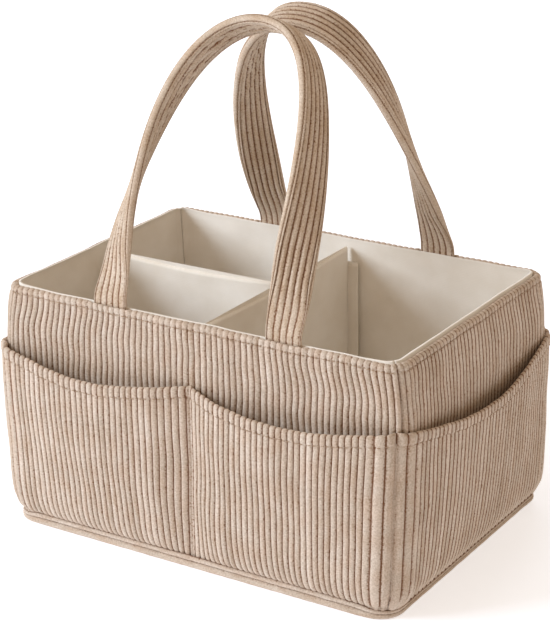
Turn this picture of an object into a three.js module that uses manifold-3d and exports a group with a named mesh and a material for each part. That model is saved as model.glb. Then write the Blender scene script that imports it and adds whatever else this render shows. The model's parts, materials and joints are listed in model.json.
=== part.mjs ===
// Soft-sided carry caddy in ribbed cord: an open tub with outside pockets, a cream lining,
// two padded carrying handles and a pair of lift-out dividers.
// Millimetres, +Z up. The origin is the middle of the underside, the front wall faces -Y.
import * as THREE from 'three';
import { mergeVertices } from 'three/addons/utils/BufferGeometryUtils.js';
import Module from 'manifold-3d';

const wasm = await Module();
wasm.setup();

// Tub: outside of the cord panels
const RIM_LENGTH = 384;
const RIM_DEPTH = 260;
const RIM_HEIGHT = 215;
const BASE_FLARE = 4; // front and back walls stand this much further out at the floor than at the rim
const END_TUCK = 6; // end walls stand this much further in at the floor than at the rim
const CORNER_RADIUS = 17;
const CORNER_STEPS = 4; // facets in half a corner

// Layers of the wall and floor, from outside to inside
const LAYER_GAP = 0.3;
const CORD_SHEET = 2.4;
const STIFFENER_SHEET = 3.4;
const LINING_SHEET = 1;
const BASE_BOARD_SHEET = 3.4;
const HEM_FOLD = 3.4; // depth of the cord turned over the top edge
const STIFFENER_CORNER_GAP = 3;

// Outside pockets
const POCKET_SHEET = 2.6;
const POCKET_HEIGHT = 161; // top of the hem at the seams
const POCKET_HEM = 11;
const POCKET_HEM_EXTRA = 0.8; // the hem is folded double, so it stands out a little
const POCKET_STAND = 9; // how far the cloth stands off the wall above its rounded foot
const POCKET_STAND_LOSS = 3; // how much of that is lost again towards the hem
const POCKET_FOOT_ROUND = 28; // height over which the foot rounds out
const POCKET_SEAM_HOLD = 12; // the middle seam holds the cloth down about this far to both sides
const POCKET_BELLY_POWER = 0.8; // below 1 the belly is fuller than a sine
const POCKET_DIP_POWER = 1.5; // above 1 the hem stays high near its seams
const POCKET_ROWS = 7;
const POCKET_ROW_POWER = 1.8; // rows crowd towards the foot, where the cloth rounds out
const LONG_POCKET = { compartments: 2, bulge: 10, dip: 10, steps: 20 };
const END_POCKET = { compartments: 1, bulge: 12, dip: 17, steps: 10 };

// Welt round the foot of the tub: two cords side by side, drawn in slimmer at the ends
const WELT_HEIGHT = 10.5;
const WELT_END_HEIGHT = 6.5;
const WELT_THICKNESS = 3.6;
const WELT_GROOVE = 1.2;
const WELT_CORDS = 2;
const WELT_CORD_STEPS = 4;

// Padded handle straps
const STRAP_WIDTH = 35;
const STRAP_THICKNESS = 8;
const STRAP_FOOT_THICKNESS = 3;
const STRAP_COVER = 1.2;
const STRAP_FLAT_LENGTH = 12; // sewn flat next to the rim
const STRAP_FILL_LENGTH = 45; // fully padded from here on
const STRAP_CORE_START = 24;
const STRAP_TAIL = 26; // length sewn down inside the wall
const STRAP_EDGE_STEPS = 3; // facets round the edge of the cover
const STRAP_CORE_STEPS = 2;

// Arch of a handle, measured in its own leaning plane from the hinge line
const ARCH_HALF_SPREAD = 84;
const ARCH_HEIGHT = 241;
const ARCH_FOOT_PULL = 65;
const ARCH_STEPS = 44;
const TWIST_EASE = 0.08; // share of the climb over which the twist sets in
const TWIST_POWER = 2.5; // above 1 most of the twist is done low down
const HANDLE_DROP_ANGLE = 45; // degrees below level where a handle swung outwards meets the rim
// How far a handle is sewn off the middle, how far its top sways and how broad its shoulders are
const FRONT_HANDLE = { shift: 0, sway: 4.5, topPull: 90 };
const BACK_HANDLE = { shift: 5, sway: 9, topPull: 78 };

// Lift-out dividers
const CROSS_DIVIDER_X = 0;
const HALF_DIVIDER_Y = 5;
const DIVIDER_BELOW_RIM = 7;
const DIVIDER_DIP = 4;
const DIVIDER_DIP_STEPS = 10;
const DIVIDER_COVER = 1;
const DIVIDER_BOARD = 3.4;
const WING_WIDTH = 24;
const WING_SHEET = 1.2;
const WING_END_MARGIN = 14;
const TAPE_WIDTH = 20;
const TAPE_THICKNESS = 1;
const TAPE_END_MARGIN = 4; // tape stops this far from the ends of its wing

// Colours and finishes
const CORD = { color: 0xbfa78f, roughness: 0.95 };
const CORD_UNDERSIDE = { color: 0xb49a81, roughness: 0.95 };
const LINING = { color: 0xebe3d5, roughness: 0.9 };
const BOARD = { color: 0xd9d6d0, roughness: 0.7 };
const FELT = { color: 0xf1eee8, roughness: 0.95 };
const TAPE = { color: 0xdfd5c4, roughness: 0.95 };

// Levels and depths that follow from the driving dimensions
const baseTop = CORD_SHEET;
const wallBottom = baseTop + LAYER_GAP;
const boardTop = wallBottom + BASE_BOARD_SHEET;
const floorBottom = boardTop + LAYER_GAP;
const floorTop = floorBottom + LINING_SHEET;
const hemBottom = RIM_HEIGHT - HEM_FOLD;
const stiffenerTop = hemBottom - 2 * LAYER_GAP;
const stiffenerOuter = -CORD_SHEET - LAYER_GAP;
const stiffenerInner = stiffenerOuter - STIFFENER_SHEET;
const liningOuter = stiffenerInner - LAYER_GAP;
const liningInner = liningOuter - LINING_SHEET;
const pocketInner = LAYER_GAP;
const weltInner = pocketInner + POCKET_SHEET + LAYER_GAP;
const strapInset = (stiffenerOuter + stiffenerInner) / 2;

// Half length and half depth of the tub at a height above the floor
function shareDown(z) {
  return 1 - Math.min(z, RIM_HEIGHT) / RIM_HEIGHT;
}

function halfLength(z) {
  return RIM_LENGTH / 2 - END_TUCK * shareDown(z);
}

function halfDepth(z) {
  return RIM_DEPTH / 2 + BASE_FLARE * shareDown(z);
}

// A station is a place on the plan: sx and sy pick a point of the inner rectangle that carries
// the rounded corners, angle is the direction of the outward normal.
function wallPoint(station, z, offset) {
  const reach = CORNER_RADIUS + offset;
  const x = station.sx * (halfLength(z) - CORNER_RADIUS) + Math.cos(station.angle) * reach;
  const y = station.sy * (halfDepth(z) - CORNER_RADIUS) + Math.sin(station.angle) * reach;
  return [x, y, z];
}

// The four sides, each run counterclockwise seen from above: at(t) gives sx, sy for t from -1 to 1
const SIDES = {
  front: { angle: -Math.PI / 2, at: (t) => [t, -1] },
  right: { angle: 0, at: (t) => [1, t] },
  back: { angle: Math.PI / 2, at: (t) => [-t, 1] },
  left: { angle: Math.PI, at: (t) => [-1, -t] },
};

function straightStations(side, from, to, steps) {
  const { angle, at } = SIDES[side];
  const stations = [];
  for (let i = 0; i <= steps; i += 1) {
    const [sx, sy] = at(from + ((to - from) * i) / steps);
    stations.push({ sx, sy, angle });
  }
  return stations;
}

// Stations of one sewn panel, from the middle of one corner to the middle of the next
function panelStations(side, straightSteps) {
  const { angle } = SIDES[side];
  const straight = straightStations(side, -1, 1, straightSteps);
  const first = straight[0];
  const last = straight[straight.length - 1];
  const seam = Math.PI / 4 - LAYER_GAP / 2 / (CORNER_RADIUS + liningInner);
  const leading = [];
  const trailing = [];
  for (let i = CORNER_STEPS; i >= 1; i -= 1) {
    leading.push({ ...first, angle: angle - (seam * i) / CORNER_STEPS });
  }
  for (let i = 1; i <= CORNER_STEPS; i += 1) {
    trailing.push({ ...last, angle: angle + (seam * i) / CORNER_STEPS });
  }
  return [...leading, ...straight, ...trailing];
}

// Adds to each station its share of the way along the panel, measured on the plan at the floor
function measured(stations) {
  const points = stations.map((station) => new THREE.Vector3(...wallPoint(station, 0, 0)));
  const lengths = [0];
  for (let i = 1; i < points.length; i += 1) {
    lengths.push(lengths[i - 1] + points[i].distanceTo(points[i - 1]));
  }
  const total = lengths[lengths.length - 1];
  return stations.map((station, i) => ({ ...station, along: lengths[i] / total }));
}

function indexedGeometry(positions, index) {
  const geometry = new THREE.BufferGeometry();
  geometry.setAttribute('position', new THREE.Float32BufferAttribute(positions, 3));
  geometry.setIndex(index);
  geometry.computeVertexNormals();
  return geometry;
}

// A closed sheet that follows the wall: an outer and an inner grid joined all round the edge.
// shape(station, row) gives the [offset, z] of the outer and the inner face.
function sheetGeometry(stations, rows, shape) {
  const positions = [];
  const index = [];
  const columns = stations.length;
  const height = rows.length;
  for (const face of ['outer', 'inner']) {
    for (const station of stations) {
      for (const row of rows) {
        const [offset, z] = shape(station, row)[face];
        positions.push(...wallPoint(station, z, offset));
      }
    }
  }
  const outer = (column, row) => column * height + row;
  const inner = (column, row) => (columns + column) * height + row;
  const quad = (a, b, c, d) => index.push(a, b, c, a, c, d);
  for (let c = 0; c < columns - 1; c += 1) {
    for (let r = 0; r < height - 1; r += 1) {
      quad(outer(c, r), outer(c + 1, r), outer(c + 1, r + 1), outer(c, r + 1));
      quad(inner(c, r), inner(c, r + 1), inner(c + 1, r + 1), inner(c + 1, r));
    }
    const top = height - 1;
    quad(outer(c, 0), inner(c, 0), inner(c + 1, 0), outer(c + 1, 0));
    quad(outer(c, top), outer(c + 1, top), inner(c + 1, top), inner(c, top));
  }
  for (let r = 0; r < height - 1; r += 1) {
    const end = columns - 1;
    quad(outer(0, r), outer(0, r + 1), inner(0, r + 1), inner(0, r));
    quad(outer(end, r), inner(end, r), inner(end, r + 1), outer(end, r + 1));
  }
  return indexedGeometry(positions, index);
}

// A flat sheet of even thickness between two heights of the wall
function layerGeometry(stations, bottom, top, outer, inner) {
  return sheetGeometry(stations, [bottom, top], (station, z) => ({ outer: [outer, z], inner: [inner, z] }));
}

// A closed ring round the tub: profile points are [offset, share of the station's height],
// running up the outer side
function ringGeometry(stations, profile) {
  const positions = [];
  const index = [];
  for (const station of stations) {
    for (const [offset, share] of profile) {
      positions.push(...wallPoint(station, station.height * share, offset));
    }
  }
  const count = profile.length;
  const at = (i, j) => (i % stations.length) * count + (j % count);
  for (let i = 0; i < stations.length; i += 1) {
    for (let j = 0; j < count; j += 1) {
      index.push(at(i, j), at(i + 1, j), at(i + 1, j + 1));
      index.push(at(i, j), at(i + 1, j + 1), at(i, j + 1));
    }
  }
  return indexedGeometry(positions, index);
}

// A closed body through a row of cross-sections, each a loop of 3-D points, with flat ends.
// Every face is split along the same diagonal, so that layers twisted together stay clear.
function loftGeometry(loops, flatLoop) {
  const positions = loops.flat().flatMap((point) => point.toArray());
  const index = [];
  const count = flatLoop.length;
  for (let i = 0; i < loops.length - 1; i += 1) {
    for (let j = 0; j < count; j += 1) {
      const next = (j + 1) % count;
      const here = i * count;
      const there = here + count;
      if (flatLoop[next].x > flatLoop[j].x) {
        index.push(here + j, there + j, there + next);
        index.push(here + j, there + next, here + next);
      } else {
        index.push(here + j, there + j, here + next);
        index.push(there + j, there + next, here + next);
      }
    }
  }
  const last = (loops.length - 1) * count;
  for (const [a, b, c] of THREE.ShapeUtils.triangulateShape(flatLoop, [])) {
    index.push(a, b, c);
    index.push(last + a, last + c, last + b);
  }
  return indexedGeometry(positions, index);
}

function toSolid(geometry) {
  const bare = geometry.clone();
  bare.deleteAttribute('normal');
  bare.deleteAttribute('uv');
  const merged = mergeVertices(bare);
  const vertProperties = new Float32Array(merged.attributes.position.array);
  const triVerts = new Uint32Array(merged.index.array);
  return new wasm.Manifold(new wasm.Mesh({ numProp: 3, vertProperties, triVerts }));
}

function fromSolid(solid) {
  const { vertProperties, triVerts } = solid.getMesh();
  return indexedGeometry(Array.from(vertProperties), Array.from(triVerts));
}

function cutAway(geometry, cutters) {
  const solid = cutters.reduce((body, cutter) => body.subtract(toSolid(cutter)), toSolid(geometry));
  return fromSolid(solid);
}

function extruded(shape, depth, curveSegments) {
  return new THREE.ExtrudeGeometry(shape, { depth, bevelEnabled: false, curveSegments });
}

function boxBetween(low, high) {
  const box = new THREE.BoxGeometry(high[0] - low[0], high[1] - low[1], high[2] - low[2]);
  return box.translate((low[0] + high[0]) / 2, (low[1] + high[1]) / 2, (low[2] + high[2]) / 2);
}

function addMesh(group, name, geometry, finish) {
  const material = new THREE.MeshStandardMaterial({ ...finish, metalness: 0 });
  const mesh = new THREE.Mesh(geometry, material);
  mesh.name = name;
  group.add(mesh);
  return mesh;
}

// Handles: where they stand, how they lean and the hinge line of each
const hingeRise = (() => {
  const drop = THREE.MathUtils.degToRad(HANDLE_DROP_ANGLE);
  const clear = STRAP_FOOT_THICKNESS / 2 + LAYER_GAP;
  return (clear - strapInset * Math.sin(drop)) / Math.cos(drop);
})();
const hingeZ = RIM_HEIGHT + hingeRise;
const hingeReach = RIM_DEPTH / 2 + strapInset;
// The two straps lean in until their edges all but meet above the middle of the tub
const leanAngle = Math.asin((hingeReach - STRAP_WIDTH / 2) / ARCH_HEIGHT);
const HANDLES = [
  { name: 'front', facing: -1, ...FRONT_HANDLE },
  { name: 'back', facing: 1, ...BACK_HANDLE },
];

// The arch in its own plane: two mirrored curves that meet level at the top
function archPath(handle) {
  const side = (sign) => [
    new THREE.Vector2(sign * ARCH_HALF_SPREAD, 0),
    new THREE.Vector2(sign * ARCH_HALF_SPREAD, ARCH_FOOT_PULL),
    new THREE.Vector2(sign * handle.topPull, ARCH_HEIGHT),
    new THREE.Vector2(0, ARCH_HEIGHT),
  ];
  const path = new THREE.CurvePath();
  path.add(new THREE.CubicBezierCurve(...side(1)));
  path.add(new THREE.CubicBezierCurve(...side(-1).reverse()));
  return path;
}

// The strap's own axes at a distance along the arch. The outer face looks outwards at the feet
// and turns a quarter round to look upwards at the top of the arch.
function strapFrame(handle, path, distance) {
  const total = path.getLength();
  const share = distance / total;
  const point = path.getPoint(share);
  const tangent = path.getTangent(share);
  const up = new THREE.Vector3(0, -handle.facing * Math.sin(leanAngle), Math.cos(leanAngle));
  const out = new THREE.Vector3(0, handle.facing * Math.cos(leanAngle), Math.sin(leanAngle));
  const rise = point.y / ARCH_HEIGHT;
  const x = point.x + handle.shift + handle.sway * rise ** 2;
  const centre = new THREE.Vector3(x, handle.facing * hingeReach, hingeZ).addScaledVector(up, point.y);
  const slant = tangent.x + (2 * handle.sway * rise * tangent.y) / ARCH_HEIGHT;
  const along = new THREE.Vector3(slant, 0, 0).addScaledVector(up, tangent.y).normalize();
  const radial = new THREE.Vector3().crossVectors(along, out).multiplyScalar(-handle.facing);
  const fromFoot = Math.min(distance, total - distance);
  const climb = Math.max(0, fromFoot - STRAP_FLAT_LENGTH) / (total / 2 - STRAP_FLAT_LENGTH);
  const eased = (climb * climb * (1 + TWIST_EASE)) / (climb + TWIST_EASE);
  const twist = (Math.PI / 2) * (1 - (1 - eased) ** TWIST_POWER);
  const outward = out.multiplyScalar(Math.cos(twist)).addScaledVector(radial, Math.sin(twist));
  const across = new THREE.Vector3().crossVectors(along, outward);
  const fill = THREE.MathUtils.smoothstep(fromFoot, STRAP_FLAT_LENGTH, STRAP_FILL_LENGTH);
  const thickness = THREE.MathUtils.lerp(STRAP_FOOT_THICKNESS, STRAP_THICKNESS, fill);
  return { centre, outward, across, thickness };
}

// Half of the strap's round-edged outline, from its right edge over the top to its left edge
function halfOutline(thickness, inset, steps) {
  const radius = thickness / 2 - inset;
  const centre = STRAP_WIDTH / 2 - thickness / 2;
  const first = Math.asin(LAYER_GAP / 2 / radius);
  const points = [];
  for (let i = 0; i <= steps; i += 1) {
    const angle = first + ((Math.PI / 2 - first) * i) / steps;
    points.push(new THREE.Vector2(centre + radius * Math.cos(angle), radius * Math.sin(angle)));
  }
  const mirrored = points.map((point) => new THREE.Vector2(-point.x, point.y)).reverse();
  return [...points, ...mirrored];
}

// Cross-sections of the three layers of a strap, all counterclockwise
const STRAP_LAYERS = {
  face: (thickness) => [
    ...halfOutline(thickness, 0, STRAP_EDGE_STEPS),
    ...halfOutline(thickness, STRAP_COVER, STRAP_CORE_STEPS).reverse(),
  ],
  backing: (thickness) => STRAP_LAYERS.face(thickness).map((p) => new THREE.Vector2(p.x, -p.y)).reverse(),
  core: (thickness) => {
    const top = halfOutline(thickness, STRAP_COVER + LAYER_GAP, STRAP_CORE_STEPS);
    const bottom = top.map((point) => new THREE.Vector2(-point.x, -point.y));
    return [...top, ...bottom];
  },
};

// One layer of a strap, leaving out a stretch at both feet
function strapGeometry(handle, layer, leftOut) {
  const path = archPath(handle);
  const skipped = Math.ceil((leftOut / path.getLength()) * ARCH_STEPS);
  const loops = [];
  for (let i = skipped; i <= ARCH_STEPS - skipped; i += 1) {
    const distance = (path.getLength() * i) / ARCH_STEPS;
    const { centre, outward, across, thickness } = strapFrame(handle, path, distance);
    const place = (p) => centre.clone().addScaledVector(across, p.x).addScaledVector(outward, p.y);
    loops.push(STRAP_LAYERS[layer](thickness).map(place));
  }
  return loftGeometry(loops, STRAP_LAYERS[layer](STRAP_THICKNESS));
}

// Places along the rim where a handle's two feet go in, as x positions
function handleFeet(handle) {
  const at = handle.shift;
  return { left: at - ARCH_HALF_SPREAD, right: at + ARCH_HALF_SPREAD };
}

// A strap's tail inside the wall. Its top is cut to the slope that the dropped handle lies on.
function tailGeometry(handle, x) {
  const run = halfLength(RIM_HEIGHT) - CORNER_RADIUS;
  const sign = -handle.facing;
  const from = (sign * x - STRAP_WIDTH / 2) / run;
  const to = (sign * x + STRAP_WIDTH / 2) / run;
  const half = STRAP_FOOT_THICKNESS / 2;
  const drop = THREE.MathUtils.degToRad(HANDLE_DROP_ANGLE);
  const below = (half + LAYER_GAP) / Math.cos(drop);
  const lean = half * Math.tan(drop);
  const bottom = RIM_HEIGHT - STRAP_TAIL;
  return sheetGeometry(straightStations(handle.name, from, to, 1), [0, 1], (station, row) => ({
    outer: [strapInset + half, row === 0 ? bottom : hingeZ - below - lean],
    inner: [strapInset - half, row === 0 ? bottom : hingeZ - below + lean],
  }));
}

// Slots in the top hem that let the straps into the wall
function tailSlots(handle) {
  return Object.values(handleFeet(handle)).map((x) => {
    const halfWidth = STRAP_WIDTH / 2 + LAYER_GAP;
    const halfSlot = STRAP_FOOT_THICKNESS / 2 + LAYER_GAP;
    const y = handle.facing * hingeReach;
    const low = [x - halfWidth, y - halfSlot, hemBottom - HEM_FOLD];
    const high = [x + halfWidth, y + halfSlot, RIM_HEIGHT + HEM_FOLD];
    return boxBetween(low, high);
  });
}

// Notches that clear the straps' tails in the top edge of a stiffener
function tailNotches(handle) {
  return Object.values(handleFeet(handle)).map((x) => {
    const halfWidth = STRAP_WIDTH / 2 + LAYER_GAP;
    const y = handle.facing * hingeReach;
    const reach = STIFFENER_SHEET + BASE_FLARE;
    const low = [x - halfWidth, y - reach, RIM_HEIGHT - STRAP_TAIL - LAYER_GAP];
    const high = [x + halfWidth, y + reach, RIM_HEIGHT];
    return boxBetween(low, high);
  });
}

// Outer cord panel of one side, turned over the top edge
function panelGeometry(side) {
  const rows = [
    [wallBottom, -CORD_SHEET],
    [hemBottom - LAYER_GAP, -CORD_SHEET],
    [hemBottom, stiffenerInner],
    [RIM_HEIGHT, stiffenerInner],
  ];
  return sheetGeometry(panelStations(side, 1), rows, (station, [z, inner]) => ({
    outer: [0, z],
    inner: [inner, z],
  }));
}

// Height of the welt at a station: full at the long walls, slim at the ends, easing round the corners
function weltHeight(side, station) {
  const turned = Math.abs(station.angle - SIDES[side].angle) / (Math.PI / 4);
  const slim = HANDLES.some(({ name }) => name === side) ? turned / 2 : 1 - turned / 2;
  return THREE.MathUtils.lerp(WELT_HEIGHT, WELT_END_HEIGHT, slim);
}

// An outside pocket: sewn down at its foot and its seams, rounded out above the foot, bellied out
// and dipped at its hem. Row -1 is the lower edge, rows 0 to 1 run from the top of the welt to the hem.
function pocketGeometry(side, { compartments, bulge, dip, steps }) {
  const stations = measured(panelStations(side, steps));
  const width = 2 * halfLength(0);
  const hemStart = 1 - POCKET_HEM / POCKET_HEIGHT;
  const hemStep = hemStart + LAYER_GAP / POCKET_HEIGHT;
  const rows = [hemStep, 1];
  for (let i = POCKET_ROWS; i >= 0; i -= 1) {
    rows.unshift(hemStart * (i / POCKET_ROWS) ** POCKET_ROW_POWER);
  }
  return sheetGeometry(stations, [-1, ...rows], (station, row) => {
    const foot = weltHeight(side, station) + LAYER_GAP;
    const belly = Math.abs(Math.sin(Math.PI * compartments * station.along)) ** POCKET_BELLY_POWER;
    const top = POCKET_HEIGHT - dip * belly ** POCKET_DIP_POWER;
    const share = Math.max(0, row);
    const z = row < 0 ? wallBottom : foot + (top - foot) * row;
    const climb = Math.min(1, Math.max(0, z - foot) / POCKET_FOOT_ROUND);
    const fromMiddle = (station.along - 0.5) * width;
    const held = compartments > 1 ? Math.exp(-((fromMiddle / POCKET_SEAM_HOLD) ** 2)) : 0;
    const stand = (POCKET_STAND - POCKET_STAND_LOSS * share) * Math.sqrt(1 - (1 - climb) ** 2) * (1 - held);
    const slack = stand + bulge * belly * Math.sin((Math.PI / 2) * share);
    const thickness = POCKET_SHEET + (row >= hemStep ? POCKET_HEM_EXTRA : 0);
    return { outer: [pocketInner + slack + thickness, z], inner: [pocketInner + slack, z] };
  });
}

// Welt round the foot: a band of rounded cords one above the other, flat underneath
function weltGeometry() {
  const stations = Object.keys(SIDES).flatMap((side) =>
    panelStations(side, 1).map((station) => ({ ...station, height: weltHeight(side, station) })));
  const groove = weltInner + WELT_THICKNESS - WELT_GROOVE;
  const profile = [[groove, 0]];
  for (let i = 1; i <= WELT_CORDS * WELT_CORD_STEPS; i += 1) {
    const turn = (Math.PI * i) / WELT_CORD_STEPS;
    const within = (1 - Math.cos(turn % Math.PI)) / 2;
    const below = Math.floor(i / WELT_CORD_STEPS);
    profile.push([groove + WELT_GROOVE * Math.abs(Math.sin(turn)), (below + within) / WELT_CORDS]);
  }
  profile.push([weltInner, 1], [weltInner, 0]);
  return ringGeometry(stations, profile);
}

// A flat plate with the tub's plan at a height, grown outwards by offset
function plateGeometry(bottom, top, offset) {
  const x = halfLength(bottom) - CORNER_RADIUS;
  const y = halfDepth(bottom) - CORNER_RADIUS;
  const radius = CORNER_RADIUS + offset;
  const shape = new THREE.Shape();
  shape.absarc(x, -y, radius, -Math.PI / 2, 0, false);
  shape.absarc(x, y, radius, 0, Math.PI / 2, false);
  shape.absarc(-x, y, radius, Math.PI / 2, Math.PI, false);
  shape.absarc(-x, -y, radius, Math.PI, Math.PI * 1.5, false);
  return extruded(shape, top - bottom, 2 * CORNER_STEPS).translate(0, 0, bottom);
}

// Dividers, in their own frame: X along the divider, Y through it, Z up from the lining floor
const dividerThickness = DIVIDER_BOARD + 2 * (DIVIDER_COVER + LAYER_GAP);
const dividerBottom = floorTop + LAYER_GAP;
const dividerTop = RIM_HEIGHT - DIVIDER_BELOW_RIM;
const wingBottom = dividerBottom + WING_END_MARGIN;
const wingTop = dividerTop - WING_END_MARGIN;
const tapeStack = LAYER_GAP + TAPE_THICKNESS;

function dividerSlab(length, bottom, top, thickness) {
  const half = length / 2;
  const shape = new THREE.Shape();
  shape.moveTo(-half, bottom);
  shape.lineTo(half, bottom);
  shape.lineTo(half, top);
  shape.quadraticCurveTo(0, top - 2 * DIVIDER_DIP, -half, top);
  shape.closePath();
  return extruded(shape, thickness, DIVIDER_DIP_STEPS).rotateX(Math.PI / 2).translate(0, thickness / 2, 0);
}

// The sewn sleeve, open underneath for its board, with a wing across each end
function dividerCover(length) {
  const inside = length - 2 * Math.max(DIVIDER_COVER, WING_SHEET);
  const pocketTop = dividerTop - DIVIDER_COVER;
  const pocket = dividerSlab(inside, dividerBottom - LAYER_GAP, pocketTop, DIVIDER_BOARD + 2 * LAYER_GAP);
  const wing = (end) => {
    const outside = (end * length) / 2;
    const x = [outside, outside - end * WING_SHEET].sort((a, b) => a - b);
    return boxBetween([x[0], -WING_WIDTH / 2, wingBottom], [x[1], WING_WIDTH / 2, wingTop]);
  };
  const sleeve = toSolid(dividerSlab(length, dividerBottom, dividerTop, dividerThickness));
  return fromSolid(sleeve.add(toSolid(wing(-1))).add(toSolid(wing(1))).subtract(toSolid(pocket)));
}

function dividerBoard(length) {
  const inside = length - 2 * Math.max(DIVIDER_COVER, WING_SHEET) - 2 * LAYER_GAP;
  return dividerSlab(inside, dividerBottom, dividerTop - DIVIDER_COVER - LAYER_GAP, DIVIDER_BOARD);
}

// Hook tape on the outside of a wing
function hookTape(length, end) {
  const near = (end * length) / 2 + end * LAYER_GAP;
  const x = [near, near + end * TAPE_THICKNESS].sort((a, b) => a - b);
  const low = [x[0], -TAPE_WIDTH / 2, wingBottom + TAPE_END_MARGIN];
  const high = [x[1], TAPE_WIDTH / 2, wingTop - TAPE_END_MARGIN];
  return boxBetween(low, high);
}

function addDivider(group, name, length, ends) {
  addMesh(group, `${name}_cover`, dividerCover(length), LINING);
  addMesh(group, `${name}_board`, dividerBoard(length), BOARD);
  addMesh(group, `${name}_hook_${ends[0]}`, hookTape(length, -1), TAPE);
  addMesh(group, `${name}_hook_${ends[1]}`, hookTape(length, 1), TAPE);
}

// Loop tape sewn to the lining where a divider's wing presses on
function wallTape(side, place) {
  const half = side === 'left' ? halfDepth(RIM_HEIGHT) : halfLength(RIM_HEIGHT);
  const run = half - CORNER_RADIUS;
  const from = (place - TAPE_WIDTH / 2) / run;
  const to = (place + TAPE_WIDTH / 2) / run;
  const outer = liningInner - LAYER_GAP;
  const low = wingBottom + TAPE_END_MARGIN;
  const high = wingTop - TAPE_END_MARGIN;
  return layerGeometry(straightStations(side, from, to, 1), low, high, outer, outer - TAPE_THICKNESS);
}

const caddy = new THREE.Group();

// Floor, from the underside up
addMesh(caddy, 'base_panel', plateGeometry(0, baseTop, weltInner - LAYER_GAP), CORD_UNDERSIDE);
addMesh(caddy, 'base_board', plateGeometry(wallBottom, boardTop, liningOuter), BOARD);
addMesh(caddy, 'floor_lining', plateGeometry(floorBottom, floorTop, liningInner - LAYER_GAP), LINING);
addMesh(caddy, 'base_welt', weltGeometry(), CORD_UNDERSIDE);

// Walls, from outside to inside. The long walls take the handles.
for (const side of Object.keys(SIDES)) {
  const handle = HANDLES.find(({ name }) => name === side);
  const run = (handle ? halfLength(RIM_HEIGHT) : halfDepth(RIM_HEIGHT)) - CORNER_RADIUS;
  const end = 1 - STIFFENER_CORNER_GAP / run;
  const board = straightStations(side, -end, end, 1);
  const stiffener = layerGeometry(board, wallBottom, stiffenerTop, stiffenerOuter, stiffenerInner);
  const lining = layerGeometry(panelStations(side, 1), floorBottom, RIM_HEIGHT, liningOuter, liningInner);
  const panel = panelGeometry(side);
  const pocket = pocketGeometry(side, handle ? LONG_POCKET : END_POCKET);
  addMesh(caddy, `${side}_panel`, handle ? cutAway(panel, tailSlots(handle)) : panel, CORD);
  addMesh(caddy, `${side}_pocket`, pocket, CORD);
  addMesh(caddy, `${side}_stiffener`, handle ? cutAway(stiffener, tailNotches(handle)) : stiffener, FELT);
  addMesh(caddy, `${side}_lining`, lining, LINING);
}

// Handles: two cord strips round a padded core, and the tails sewn into the wall
for (const handle of HANDLES) {
  addMesh(caddy, `${handle.name}_handle_face`, strapGeometry(handle, 'face', 0), CORD);
  addMesh(caddy, `${handle.name}_handle_backing`, strapGeometry(handle, 'backing', 0), CORD_UNDERSIDE);
  addMesh(caddy, `${handle.name}_handle_core`, strapGeometry(handle, 'core', STRAP_CORE_START), FELT);
  for (const [foot, x] of Object.entries(handleFeet(handle))) {
    addMesh(caddy, `${handle.name}_handle_tail_${foot}`, tailGeometry(handle, x), CORD_UNDERSIDE);
  }
}

// Dividers and the tapes that hold them
const crossReach = RIM_DEPTH / 2 + liningInner - tapeStack - LAYER_GAP;
const crossLength = 2 * (crossReach - tapeStack);
const crossDivider = new THREE.Group();
crossDivider.rotation.z = Math.PI / 2;
crossDivider.position.set(CROSS_DIVIDER_X, 0, 0);
addDivider(crossDivider, 'cross_divider', crossLength, ['front', 'back']);
caddy.add(crossDivider);

const crossFace = CROSS_DIVIDER_X - dividerThickness / 2;
const crossTapeLow = [crossFace - tapeStack, HALF_DIVIDER_Y - TAPE_WIDTH / 2, wingBottom + TAPE_END_MARGIN];
const crossTapeHigh = [crossFace - LAYER_GAP, HALF_DIVIDER_Y + TAPE_WIDTH / 2, wingTop - TAPE_END_MARGIN];
addMesh(caddy, 'cross_divider_loop', boxBetween(crossTapeLow, crossTapeHigh), TAPE);

const halfLeft = -halfLength(dividerBottom) - liningInner + tapeStack + LAYER_GAP + tapeStack;
const halfRight = crossFace - tapeStack - LAYER_GAP - tapeStack;
const halfDivider = new THREE.Group();
halfDivider.position.set((halfLeft + halfRight) / 2, HALF_DIVIDER_Y, 0);
addDivider(halfDivider, 'half_divider', halfRight - halfLeft, ['left', 'right']);
caddy.add(halfDivider);

addMesh(caddy, 'front_loop_tape', wallTape('front', CROSS_DIVIDER_X), TAPE);
addMesh(caddy, 'back_loop_tape', wallTape('back', -CROSS_DIVIDER_X), TAPE);
addMesh(caddy, 'left_loop_tape', wallTape('left', -HALF_DIVIDER_Y), TAPE);

export default caddy;
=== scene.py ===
"""Looks of a soft-sided carry caddy in ribbed cord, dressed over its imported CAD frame.

Every piece is a surface worked out on a numpy grid, in metres, in the frame's own axes: +Z up, the front
wall towards -Y and the origin in the middle of the underside. Cloth pieces carry attributes that their
materials read: "cloth" holds the distance across the ribs, the distance along them and the height of the
pile, from 0 in a groove to 1 on a crest, and "tone" holds the small difference in shade of each rib.
"""

import json
import logging
import math
from abc import ABC, abstractmethod
from dataclasses import dataclass, field
from enum import Enum

import bpy
import numpy as np
from mathutils import Matrix, Vector

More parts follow.
